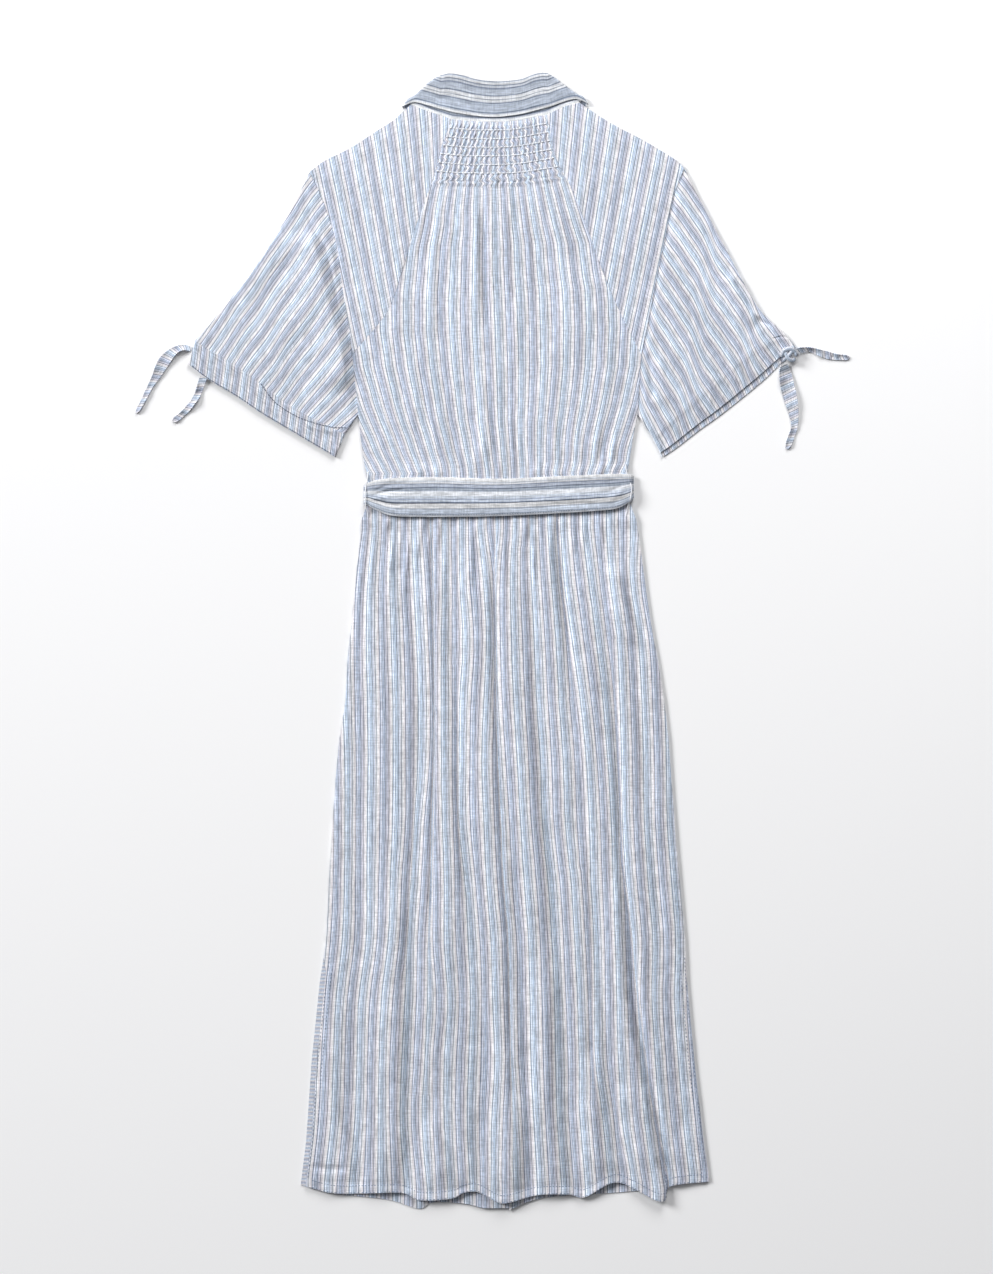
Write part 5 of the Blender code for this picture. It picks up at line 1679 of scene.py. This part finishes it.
    def _front(self, side: Side, placket_x: float, hem_points: Points, finishes: Finishes) -> None:
        """Builds half of the front, flat on the floor.

        Args:
            side: which half.
            placket_x: where its edge at the button strip lies.
            hem_points: its hem.
            finishes: the materials.
        """
        hem = smooth_line(hem_points, self.front_columns)
        level = np.linspace(WAIST_Y, self.front_hem_y, self.front_rows)
        outer = np.stack([side_at(SKIRT_SIDES, level, side.value), level], axis=1)
        edge = np.stack([np.full(self.front_rows, placket_x), level], axis=1)
        left, right = (outer, edge) if side is Side.LEFT else (edge, outer)
        left[-1], right[-1] = hem[0], hem[-1]
        top = even_line([left[0], right[0]], self.front_columns)
        outline = Outline(top, hem, left, right, bottom_reach=0.2)
        x, y = outline.x, outline.y
        lower = with_height(outline.places, front_rise(x, y))
        facing = ((np.abs(x - outer[:, 0:1]) < self.facing) & (y < SLIT_TOP_Y))[..., None]
        cloth = np.where(facing, np.stack([y * self.facing_gain, x], axis=-1),
                         np.stack([x + self.front_shift, y], axis=-1))
        piece = shell(f"SkirtFront{side.title}", lower + [0, 0, CLOTH], lower, cloth)
        seat(piece, finishes.body, f"skirt_front_{side.word}")

    def stitch(self, thread: Thread) -> None:
        """Sews the hem and both slit edges.

        Args:
            thread: takes the stitches.
        """
        hem = smooth_line(HEM_BACK, 200)[3:-3]
        thread.run(hem + [0.0, 8.5], self.surface, pitch=3.4, share=0.6, lift=0.1)
        thread.run(hem + [0.0, 1.0], self.surface, pitch=4.2, share=0.45, lift=0.1)
        heights = np.linspace(SLIT_TOP_Y - 4.0, -586.0, 60)
        for column, inset in ((1, SLIT_SHOW + 6.0), (2, -6.5), (2, -1.6), (1, SLIT_SHOW + 1.4)):
            line = np.stack([side_at(SKIRT_SIDES, heights, column) + inset, heights], axis=1)
            thread.run(line, self.surface, pitch=4.2, share=0.5, lift=0.1)


@dataclass
class ButtonFront:
    """Button strip down the hidden middle of the front, with its buttons."""

    top_y: float = 521.0
    bottom_y: float = -617.0
    rows: int = 160
    columns: int = 16
    first_button_y: float = 498.0
    pitch: float = 104.0
    count: int = 10
    sides: int = 40
    # A button that lies face down, from its hollow face to its back, as (radius, height)
    turned: Points = (
        (0.0, 0.45), (2.6, 0.45), (3.4, 0.1), (4.6, 0.0), (5.3, 0.3), (5.5, 0.8), (5.3, 1.3), (4.6, 1.5),
        (0.0, 1.5),
    )

    def make(self, finishes: Finishes) -> None:
        """Builds the strip and the buttons.

        Args:
            finishes: the materials.
        """
        corners = [(x, y) for y in (self.top_y, self.bottom_y) for x in (PLACKET_LEFT, PLACKET_RIGHT)]
        outline = Outline(even_line(corners[:2], self.columns), even_line(corners[2:], self.columns),
                          even_line(corners[::2], self.rows), even_line(corners[1::2], self.rows))
        lower = with_height(outline.places, front_rise(outline.x, outline.y))
        strip = shell("Placket", lower + [0, 0, WALL], lower, outline.places)
        seat(strip, finishes.body, "placket")
        for index in range(self.count):
            self._button(index, finishes)

    def _button(self, index: int, finishes: Finishes) -> None:
        """Builds a button face down.

        Args:
            index: its number from the top, from 0.
            finishes: the materials.
        """
        y = self.first_button_y - index * self.pitch
        turns = np.linspace(0, 2 * math.pi, self.sides, endpoint=False)
        points = np.array([
            (CENTRE_X + radius * math.cos(a), y + radius * math.sin(a), z)
            for radius, z in self.turned for a in turns
        ])
        number = np.arange(len(points)).reshape(-1, self.sides)
        ahead = np.roll(number, -1, axis=1)
        faces = np.stack([number[:-1], number[1:], ahead[1:], ahead[:-1]], axis=-1).reshape(-1, 4)
        piece = make_mesh(f"Button{index + 1:02d}", points, faces)
        seat(piece, finishes.button, f"button_{index + 1:02d}")


def strip_shell(name: str, centres: Array, thickness: float, cloth: Array) -> Piece:
    """Makes a strip of cloth round a grid of middle places."""
    offset = grid_normals(centres) * thickness / 2
    return shell(name, centres + offset, centres - offset, cloth)


@dataclass
class Collar:
    """Collar fall, one strip round the neck, and the two halves of its stand."""

    along: int = 300
    across: int = 26
    stand_rows: int = 14
    roll: float = 1.5
    roll_reach: float = 3.2
    swell: float = 0.5
    # The height over which a place lies at the back, where the fall rolls, and the reach to it
    back_height: float = 3.0
    back_reach: float = 1.4
    # The chart's last band but one, where the fall's lower edge lies
    edge_band: float = 37.6
    wrinkles: tuple[Crease, ...] = (
        Crease(((-78, 588), (-50, 582), (-20, 577)), 0.5, 3.5, 20),
        Crease(((74, 592), (50, 585), (20, 579)), 0.5, 3.5, 20),
        Crease(((-58, 612), (-40, 596), (-30, 585)), -0.4, 5, 14),
        Crease(((62, 612), (48, 598), (38, 588)), -0.4, 5, 14),
    )

    def _fall(self) -> Array:
        """Middle of the fall: rolled at its top edge, resting at its lower one.

        Returns:
            A grid whose rows run from the roll to the edge.
        """
        table = smooth_line(COLLAR_FALL, self.along)
        part = np.linspace(0, 1, self.across)[None, :, None]
        roll = table[:, None, [0, 1, 4]]
        edge = table[:, None, [2, 3, 4]]
        grid = roll * (1 - part) + edge * part
        at_back = np.clip((table[:, 4] - self.back_height) / self.back_reach, 0.0, 1.0)[:, None]
        from_roll = part[..., 0] * np.linalg.norm(table[:, 0:2] - table[:, 2:4], axis=1)[:, None]
        round_off = 1.0 - np.minimum(from_roll / self.roll_reach, 1.0)
        rolled = self.roll * (1.0 - np.sqrt(np.clip(1 - round_off ** 2, 0, 1)))
        swell = self.swell * np.sin(math.pi * part[..., 0])
        grid[..., 2] += at_back * (swell - rolled)
        grid[..., 2] += at_back * creases(self.wrinkles, grid[..., 0], grid[..., 1])
        return grid

    def make(self, finishes: Finishes) -> None:
        """Builds the fall and both halves of the stand.

        Args:
            finishes: the materials.
        """
        grid = self._fall()
        width = np.linalg.norm(grid[:, -1] - grid[:, 0], axis=1)
        shown = np.clip(width[:, None], 0, self.edge_band - 0.2)
        across = np.linspace(0, 1, self.across)[None, :] * shown + (self.edge_band - shown)
        cloth = np.stack([across, walked(grid[:, -1])[:, None] + np.zeros_like(across)], axis=-1)
        piece = strip_shell("CollarFall", grid, WALL, cloth)
        seat(piece, finishes.collar, "collar_fall")

        neck = np.vstack([smooth_line(NECK_LEFT, 24), smooth_line(NECK_BACK, 48)[1:],
                          smooth_line(NECK_RIGHT, 24)[1:]])
        low = np.full(len(neck), 2 * LAYER_STEP)
        piece = self._stand("CollarStandBack", STAND_TOP_BACK, neck, low)
        seat(piece, finishes.collar, "collar_stand_back")
        neck = np.vstack([smooth_line(FRONT_NECK_LEFT, 36), smooth_line(FRONT_NECK_RIGHT, 36)[::-1]])
        piece = self._stand("CollarStandFront", STAND_TOP_FRONT, neck, front_rise(neck[:, 0], neck[:, 1]))
        seat(piece, finishes.collar, "collar_stand_front")

    def _stand(self, name: str, top_points: Points, neck: Array, low: Array) -> Piece:
        """Builds a half of the stand between its top and the neck seam.

        Args:
            name: the object's name.
            top_points: its top edge, from left to right.
            neck: places along the neck seam.
            low: height of the lower face at each of them.

        Returns:
            The new object.
        """
        top = smooth_line(top_points, len(neck))
        outline = Outline(top, neck, even_line([top[0], neck[0]], self.stand_rows),
                          even_line([top[-1], neck[-1]], self.stand_rows))
        lower = with_height(outline.places, low[None, :] + np.zeros_like(outline.x))
        part = np.linspace(0, 1, self.stand_rows)[:, None]
        # The stand goes on from the fall's bands
        across = np.linalg.norm(top - neck, axis=1)[None, :] * (part - 1.0) + 38.5
        cloth = np.stack([across, walked(neck)[None, :] + np.zeros_like(across)], axis=-1)
        return shell(name, lower + [0, 0, WALL], lower, cloth)


@dataclass
class Sash:
    """Sash belt round the waist, pinched by a thread loop at each side."""

    along: int = 420
    across: int = 40
    thickness: float = 1.2
    # From what height on a place lies at the back, and the reach to it
    back_height: float = 4.0
    back_reach: float = 0.9
    width: float = 40.0
    edge_round: float = 2.0
    edge_drop: float = 0.55
    swell: float = 0.35
    # The bands of the chart at both edges
    bands: tuple[float, float] = (0.4, 42.4)
    loop_width: float = 1.3
    loop_sides: int = 12
    wrinkles: tuple[Crease, ...] = (
        Crease(((-134, 158), (-117, 163), (-92, 166)), -1.5, 2, 12),
        Crease(((-134, 155), (-118, 151), (-96, 146)), -1.5, 1.8, 12),
        Crease(((-134, 161), (-114, 170), (-90, 173)), -0.9, 1.8, 12),
        Crease(((-132, 157), (-122, 157), (-110, 157)), 0.9, 2, 6),
        Crease(((-60, 156), (0, 154), (70, 156)), -0.5, 3, 40),
        Crease(((-70, 168), (-10, 167), (50, 170)), 0.35, 4, 40),
        Crease(((52, 149), (90, 150), (124, 150)), -1.1, 2.4, 18),
        Crease(((146, 172), (128, 164), (104, 160)), -0.9, 2.4, 14),
        Crease(((146, 167), (134, 158), (122, 152)), 0.8, 2.6, 10),
        Crease(((146, 176), (120, 174), (90, 172)), -0.5, 2.2, 18),
    )

    def __post_init__(self) -> None:
        """Lays out the middle of the strip."""
        table = smooth_line(SASH, self.along)
        part = np.linspace(0, 1, self.across)[None, :]
        x = table[:, 0:1] + np.zeros_like(part)
        y = table[:, 1:2] * (1 - part) + table[:, 2:3] * part
        z = table[:, 3:4] + np.zeros_like(part)
        at_back = np.clip((z - self.back_height) / self.back_reach, 0.0, 1.0)
        edge = np.minimum(part, 1 - part) * self.width
        inward = 1 - np.minimum(edge / self.edge_round, 1.0)
        rounded = self.edge_drop * (1.0 - np.sqrt(np.clip(1 - inward ** 2, 0, 1)))
        swell = self.swell * np.sin(math.pi * part)
        z = z + at_back * (swell - rounded + creases(self.wrinkles, x, y) + self._lift(part))
        self.grid = np.stack([x, y, z], axis=-1)

    @staticmethod
    def _lift(part: Array) -> Array:
        """How far the sash stands off the gathers, from its lower edge (0) to its upper one (1)."""
        return 0.7 + 1.5 * (1.0 - part)

    def surface(self, x: Array, y: Array) -> Array:
        """Height of the outer face at the back.

        Args:
            x, y: places across and up.

        Returns:
            Millimetres over the floor.
        """
        table = np.array([row for row in SASH if row[3] > 4.5])
        low, high, z = (np.interp(x, table[:, 0], table[:, column]) for column in (1, 2, 3))
        part = np.clip((y - low) / (high - low), 0.0, 1.0)
        return z + self.thickness / 2 + 0.1 + creases(self.wrinkles, x, y) + self._lift(part)

    def make(self, finishes: Finishes) -> None:
        """Builds the sash and its two thread loops.

        Args:
            finishes: the materials.
        """
        along = walked(self.grid[:, self.across // 2])[:, None] + np.zeros((1, self.across))
        across = np.linspace(*self.bands, self.across)[None, :] + np.zeros_like(along)
        cloth = np.stack([across, along], axis=-1)
        piece = strip_shell("Sash", self.grid, self.thickness, cloth)
        seat(piece, finishes.sash, "sash")
        for node, path in LOOPS.items():
            name = "SashLoop" + node.split("_")[-1].title()
            piece = round_strip(name, smooth_line(path, 60), self.loop_width, self.loop_sides)
            seat(piece, finishes.pale_thread, node)

    def stitch(self, thread: Thread) -> None:
        """Sews both long edges.

        Args:
            thread: takes the stitches.
        """
        table = np.array([row for row in SASH if row[3] > 5.2])
        for share in (0.045, 0.955):
            line = np.stack([table[:, 0], table[:, 1] * (1 - share) + table[:, 2] * share], axis=1)
            thread.run(smooth_line(line, 80), self.surface, pitch=2.8, share=0.55, lift=-0.15)


def round_strip(name: str, centres: Array, width: float, sides: int, cloth_width: float = 8.0) -> Piece:
    """Makes a round closed strand along places, its ends drawn to a point.

    Args:
        name: the object's name.
        centres: places along its middle.
        width: its thickness.
        sides: how many points go round it.
        cloth_width: millimetres of cloth round it.

    Returns:
        The new object.
    """
    count = len(centres)
    along = np.gradient(centres, axis=0)
    along /= np.linalg.norm(along, axis=1, keepdims=True)
    side = np.cross(along, [0.0, 0.0, 1.0])
    side /= np.maximum(np.linalg.norm(side, axis=1, keepdims=True), TINY)
    up = np.cross(side, along)
    turns = np.linspace(0, 2 * math.pi, sides, endpoint=False)
    taper = np.sqrt(np.clip(np.minimum(np.arange(count), np.arange(count)[::-1]) / 2.0, 0.01, 1.0))
    ring = side[:, None] * np.cos(turns)[None, :, None] + up[:, None] * np.sin(turns)[None, :, None]
    points = (centres[:, None] + ring * (width / 2 * taper)[:, None, None]).reshape(-1, 3)
    number = np.arange(count * sides).reshape(count, sides)
    ahead = np.roll(number, -1, axis=1)
    faces = np.stack([number[:-1], ahead[:-1], ahead[1:], number[1:]], axis=-1).reshape(-1, 4)
    cloth = np.stack([np.tile(turns * cloth_width / 6.3, count), np.repeat(walked(centres), sides)], axis=1)
    return make_mesh(name, points, faces, cloth)


@dataclass(frozen=True)
class Tie:
    """A tie tail of a cuff: its course on the floor as (x, y, width), and how it curls across."""

    name: str
    node: str
    course: tuple[tuple[float, float, float], ...]
    diameter: float
    heights: tuple[float, ...]
    twist: tuple[float, ...]
    steps: int = 90
    across: int = 15
    thickness: float = 1.0
    # The share of the length at which the end starts to round off
    end_share: float = 0.93
    cup: float = 0.9
    ripple: float = 0.35

    def _spread(self, values: tuple[float, ...]) -> Array:
        """Reads values at every step of the length."""
        return np.interp(np.linspace(0, 1, self.steps), np.linspace(0, 1, len(values)), values)[:, None]

    def _grid(self, table: Array) -> Array:
        """Lays the band's middle along its course, turned and curled.

        Args:
            table: (x, y, width) at each step.

        Returns:
            A grid of places, with a row for each step.
        """
        shares = np.linspace(0, 1, self.steps)[:, None]
        course = np.gradient(table[:, :2], axis=0)
        course /= np.linalg.norm(course, axis=1, keepdims=True)
        turn = self._spread(self.twist)
        part = np.linspace(-1, 1, self.across)[None, :]
        half = table[:, 2:3] / 2
        tip = np.clip((shares - self.end_share) / (1.0 - self.end_share), 0, 1)
        off = part * half * np.sqrt(np.clip(1 - tip ** 2, 0.05, 1))
        cup = self.cup * part ** 2 * np.minimum(half / 6.0, 1.0)
        ripple = self.ripple * np.sin(shares * 34.0 + 2.0 * np.sin(shares * 9.0)) * (1 - 0.5 * part)
        z = self._spread(self.heights) + off * np.sin(turn) + cup + ripple
        z = np.maximum(z, self.thickness / 2 + 0.05)
        flat = off * np.cos(turn)
        x, y = table[:, 0:1] - course[:, 1:2] * flat, table[:, 1:2] + course[:, 0:1] * flat
        return np.stack([x, y, z], axis=-1)

    def make(self, finishes: Finishes) -> None:
        """Args:
            finishes: the materials.
        """
        table = smooth_line(self.course, self.steps)
        grid = self._grid(table)
        part = np.linspace(-1, 1, self.across)[None, :]
        along = walked(table[:, :2])[:, None]
        cloth = np.stack([along * 1.3 + part * 2.0, part * table[:, 2:3] / 2], axis=-1)
        piece = strip_shell(self.name, grid[:, ::-1], self.thickness, cloth[:, ::-1])
        seat(piece, finishes.cuff, self.node)


TIES = (
    Tie("TieLeftOuter", "tie_left_outer", (
        (-328.6, 319, 6), (-338, 320.5, 7), (-347, 316.5, 9), (-355, 309, 12), (-361, 300, 12),
        (-366, 290, 9), (-373, 278, 6), (-380, 264, 5.5), (-388, 249, 5),
    ), 12.0, (1.4, 1.8, 1.4, 1.0, 0.9, 0.8), (0.5, 0.25, -0.15, -0.1, 0.3, 0.4)),
    Tie("TieLeftInner", "tie_left_inner", (
        (-314.7, 288.1, 8), (-318, 279, 8), (-321, 270, 7), (-327, 260, 7), (-337, 249, 6), (-348, 240, 6),
    ), 8.0, (1.4, 1.6, 1.2, 1.0, 0.8), (0.2, -0.4, 0.6, -0.3, 0.2)),
    Tie("TieRightOuter", "tie_right_outer", (
        (332.3, 317.3, 6), (345, 318.5, 6), (356, 315, 7), (364, 312.5, 8), (374, 310.5, 7), (389, 309.5, 5),
    ), 7.5, (2.4, 1.9, 1.2, 1.0, 0.9, 0.8), (0.3, 0.7, 0.1, 0.4, 0.2)),
    Tie("TieRightInner", "tie_right_inner", (
        (317.7, 301.8, 9), (319, 291, 14), (322, 276, 15), (325.5, 262, 14), (328.5, 247, 10), (329, 234, 7),
        (325, 222, 7), (321, 210, 6),
    ), 13.0, (2.4, 1.8, 1.2, 1.0, 0.9, 0.8, 0.8), (-0.4, -0.2, 0.15, 0.2, 0.1, -0.3, 0.2)),
)


@dataclass
class Knot:
    """Knot of the right cuff: crossed loops of the folded band on the cuff's corner."""

    width: float = 5.2
    # How much thinner each strand is than the one before it
    thinner: float = 0.5
    steps: int = 26
    sides: int = 14
    cloth_width: float = 26.0
    strands: tuple[Points, ...] = (
        ((314.5, 309.5, 5.2), (317.5, 316.5, 6.4), (323.5, 318.6, 7.6), (329.0, 316.0, 6.6),
         (331.5, 310.5, 5.0)),
        ((318.0, 319.0, 5.0), (320.0, 312.0, 7.0), (322.5, 308.0, 7.2), (326.5, 306.2, 6.2),
         (329.0, 309.0, 5.0)),
        ((316.0, 305.5, 4.8), (320.0, 308.8, 6.2), (324.0, 313.2, 8.0), (326.5, 318.6, 6.4),
         (325.5, 322.0, 5.0)),
    )

    def make(self, finishes: Finishes) -> None:
        """Builds the strands and joins them into one piece.

        Args:
            finishes: the materials.
        """
        pieces = [
            round_strip(f"Strand{index}", smooth_line(path, self.steps), self.width - index * self.thinner,
                        self.sides, self.cloth_width)
            for index, path in enumerate(self.strands)
        ]
        knot = pieces[0]
        with bpy.context.temp_override(active_object=knot, object=knot, selected_objects=pieces,
                                       selected_editable_objects=pieces):
            bpy.ops.object.join()
        knot.name = "CuffKnotRight"
        seat(knot, finishes.cuff, "cuff_knot_right")


@dataclass(frozen=True)
class Softbox:
    """A large soft studio light."""

    name: str
    place: tuple[float, float, float]
    size: float
    power: float
    colour: str = "#ffffff"

    def make(self) -> None:
        """Adds the light, aimed at the middle of the dress."""
        light = bpy.data.lights.new(self.name, "AREA")
        light.shape = "SQUARE"
        light.size = self.size
        light.energy = self.power
        light.color = linear_colour(self.colour)[:3]
        lamp = bpy.data.objects.new(self.name, light)
        lamp.location = self.place
        away = np.array(self.place)
        pitch = math.atan2(math.hypot(away[0], away[1]), away[2])
        lamp.rotation_euler = (pitch, 0.0, math.atan2(away[0], -away[1]))
        bpy.context.scene.collection.objects.link(lamp)


@dataclass
class Studio:
    """White paper floor, soft lights and the camera straight over the dress."""

    photo_height: float = 1388.7
    photo_centre: tuple[float, float] = (4.4, 5.2)
    camera_height: float = 4000.0
    sensor: float = 36.0
    floor_size: float = 9.0
    floor_z: float = -0.4
    fill: float = 0.12
    lights: tuple[Softbox, ...] = (
        Softbox("BackSoftbox", (0.6, 3.0, 1.9), 1.8, 93.0),
        Softbox("KeySoftbox", (-8.0, 4.2, 4.6), 3.4, 1110.0),
        Softbox("TopSoftbox", (0.3, 1.6, 4.8), 2.2, 24.0),
    )

    def make(self) -> None:
        """Adds the floor, the lights and the faint fill of a white room."""
        half = self.floor_size / 2 / MM
        corners = ((-half, -half), (half, -half), (half, half), (-half, half))
        floor = make_mesh("PaperFloor", np.array([(x, y, self.floor_z) for x, y in corners]),
                          np.array([[0, 1, 2, 3]]))
        # Uncoated paper: even white, no gloss
        floor.data.materials.append(PlainFinish("WhitePaper", "#f4f4f5", 0.9, 0.1).material())
        for light in self.lights:
            light.make()
        world = bpy.data.worlds.new("StudioFill")
        world.use_nodes = True
        background = world.node_tree.nodes["Background"]
        background.inputs["Color"].default_value = linear_colour("#f6f7fa")
        background.inputs["Strength"].default_value = self.fill
        bpy.context.scene.world = world
        bpy.context.scene.view_settings.view_transform = "Standard"

    def camera(self) -> None:
        """Adds the camera, looking straight down on the photograph's field."""
        data = bpy.data.cameras.new("Camera")
        data.sensor_width = self.sensor
        data.lens = self.sensor * self.camera_height / self.photo_height
        data.clip_end = 20.0
        camera = bpy.data.objects.new("Camera", data)
        camera.location = (self.photo_centre[0] * MM, self.photo_centre[1] * MM, self.camera_height * MM)
        bpy.context.scene.collection.objects.link(camera)
        bpy.context.scene.camera = camera


# Lays of the stripes: the ends of a stripe line at the left and at the right of each piece
SHOULDER_LAY_LEFT = Lay((-199, 512), (-155, 313), (-78, 566), (-70, 466), 128.0, 4.0)
SHOULDER_LAY_RIGHT = Lay((84, 576), (74, 470), (209, 516), (165, 313), 128.0, 9.0)
SLEEVE_LAY_LEFT = Lay((-199, 512), (-324, 328), (-146, 262), (-176, 234), 208.0, 6.0, 0.6, 70.0)
SLEEVE_LAY_RIGHT = Lay((158, 262), (173, 225), (209, 516), (319, 335), 208.0, 2.0, 1.9, 92.0)
CUFF_LAY_LEFT = Lay((-324, 330), (-328, 300), (-161, 230), (-165, 200), 236.0, 3.0)
CUFF_LAY_RIGHT = Lay((170, 230), (180, 200), (319, 335), (332, 305), 240.0, 3.0)

SLEEVE_FOLDS_LEFT = (
    Crease(((-205, 453), (-193, 426), (-183, 384), (-175, 354), (-169, 332), (-163, 304), (-160, 270)),
           7.2, 10, 24, -0.55),
    Crease(((-204, 476), (-193, 448), (-183, 427), (-174, 386), (-166, 355), (-160, 333), (-153, 307)),
           -1.6, 2.4, 12),
    Crease(((-197, 476), (-187, 451), (-177, 427), (-168, 386), (-162, 355)), 1.4, 4, 14),
    Crease(((-210, 447), (-220, 430), (-232, 414)), 0.9, 2.8, 12),
    Crease(((-204, 428), (-214, 411), (-225, 394)), -0.8, 2.8, 12),
    Crease(((-198, 405), (-206, 389), (-216, 373)), 1, 2.8, 12),
    Crease(((-191, 382), (-199, 367), (-210, 351)), 0.8, 2.8, 12),
    Crease(((-186, 361), (-193, 346), (-203, 331)), -0.9, 2.8, 12),
    Crease(((-179, 337), (-187, 322), (-197, 308)), 0.9, 2.8, 12),
    Crease(((-205, 455), (-225, 410), (-262, 350)), -0.8, 7, 40),
    Crease(((-172, 390), (-192, 350), (-226, 306)), -0.9, 8, 40),
    Crease(((-160, 330), (-176, 296), (-200, 262)), -0.9, 6, 30),
    Crease(((-215, 470), (-240, 420), (-290, 350)), 0.7, 9, 40),
    Crease(((-190, 410), (-215, 356), (-246, 306)), 0.8, 9, 40),
)
SLEEVE_FOLDS_RIGHT = (
    Crease(((169, 318), (173, 290), (177, 261)), -2.6, 4.5, 12, -0.2),
    Crease(((181, 316), (186, 285), (190, 255)), 1.4, 5, 14),
    Crease(((212, 505), (226, 468), (252, 415), (285, 360)), -0.8, 5, 40),
    Crease(((196, 430), (214, 392), (232, 350), (262, 312)), -0.9, 8, 40),
    Crease(((186, 390), (204, 340), (232, 296)), 0.9, 9, 40),
    Crease(((206, 470), (230, 410), (272, 340)), 0.7, 9, 40),
    Crease(((263, 395), (273, 376), (285, 355), (306, 342)), -1.8, 2.4, 10),
    Crease(((257, 405), (267, 383), (277, 363), (296, 349)), 2.4, 5, 12, -0.5),
    Crease(((271, 400), (281, 379), (293, 361)), 1.2, 4, 12),
    Crease(((296, 362), (288, 344), (280, 330)), -0.9, 4, 14),
)
CUFF_STITCH_LEFT = ((-252, 281), (-243, 268), (-232, 257), (-210, 244), (-181, 235), (-158, 233))
CUFF_FOLDS_LEFT = (
    Crease(((-186, 233), (-176, 223), (-171, 209)), -1.3, 1.8, 5),
    Crease(((-200, 235), (-192, 222), (-186, 212)), -1.3, 1.8, 5),
    Crease(((-210, 242), (-190, 231), (-166, 229)), 0.8, 2.4, 8),
    Crease(((-196, 236), (-184, 226), (-172, 216)), -0.6, 2.2, 8),
    Crease(((-186, 220), (-178, 212), (-172, 206)), 0.6, 2.5, 6),
)
CUFF_FOLDS_RIGHT = (
    Crease(((300, 329), (303, 318), (309, 303)), -0.6, 1.6, 6),
    Crease(((304, 331), (314, 332), (325, 331)), -0.6, 1.3, 5),
    Crease(((296, 325), (300, 312), (306, 300)), 0.7, 2.2, 6),
)


def main() -> None:
    """Builds the camera and the ties first, then every piece of the dress and its studio."""
    logging.basicConfig(level=logging.INFO, format="%(message)s")
    studio = Studio()
    studio.camera()
    finishes = Finishes()
    for tie in TIES:
        tie.make(finishes)

    bodice, skirt, sash = BackBodice(), Skirt(), Sash()
    shoulders = (
        Shoulder(Side.LEFT, NECK_LEFT, SHOULDER_LEFT, ARMHOLE_LEFT, RAGLAN_LEFT, SHOULDER_LAY_LEFT),
        Shoulder(Side.RIGHT, NECK_RIGHT[::-1], SHOULDER_RIGHT, ARMHOLE_RIGHT, RAGLAN_RIGHT,
                 SHOULDER_LAY_RIGHT),
    )
    sleeves = (
        Sleeve(Side.LEFT, ARMHOLE_LEFT, SLEEVE_TOP_LEFT, CUFF_SEAM_LEFT, CUFF_HEM_LEFT, SLEEVE_LAY_LEFT,
               CUFF_LAY_LEFT, SLEEVE_FOLDS_LEFT, CUFF_FOLDS_LEFT),
        Sleeve(Side.RIGHT, ARMHOLE_RIGHT, SLEEVE_TOP_RIGHT, CUFF_SEAM_RIGHT, CUFF_HEM_RIGHT, SLEEVE_LAY_RIGHT,
               CUFF_LAY_RIGHT, SLEEVE_FOLDS_RIGHT, CUFF_FOLDS_RIGHT, upper_end=0.8),
    )
    fronts = (
        FrontBodice(Side.LEFT, ARMHOLE_LEFT, SHOULDER_LEFT, FRONT_NECK_LEFT, PLACKET_LEFT),
        FrontBodice(Side.RIGHT, ARMHOLE_RIGHT, SHOULDER_RIGHT, FRONT_NECK_RIGHT, PLACKET_RIGHT),
    )
    for piece in (*fronts, skirt, bodice, *shoulders, *sleeves, ButtonFront(), Collar(), sash, Knot()):
        piece.make(finishes)

    elastic = Thread("SmockingRows", 1.9)
    bodice.stitch(elastic)
    elastic.make(finishes.pale_thread, Slot.BODY)
    pale = Thread("PaleStitching", 0.55)
    sash.stitch(pale)
    for shoulder in shoulders:
        shoulder.stitch(pale)
    pale.make(finishes.pale_thread, Slot.BODY)
    hems = Thread("HemStitching", 0.7)
    skirt.stitch(hems)
    hems.make(finishes.blue_thread, Slot.BODY)
    # Dark stitching of the left cuff's seam, and a painted shadow line along its hem
    dark = Thread("CuffStitchingAndHemShadow", 0.8)
    sleeves[0].stitch(dark, CUFF_STITCH_LEFT)
    dark.make(finishes.dark_thread_and_hem_shadow, Slot.CUFF)
    studio.make()


if __name__ == "__main__":
    main()
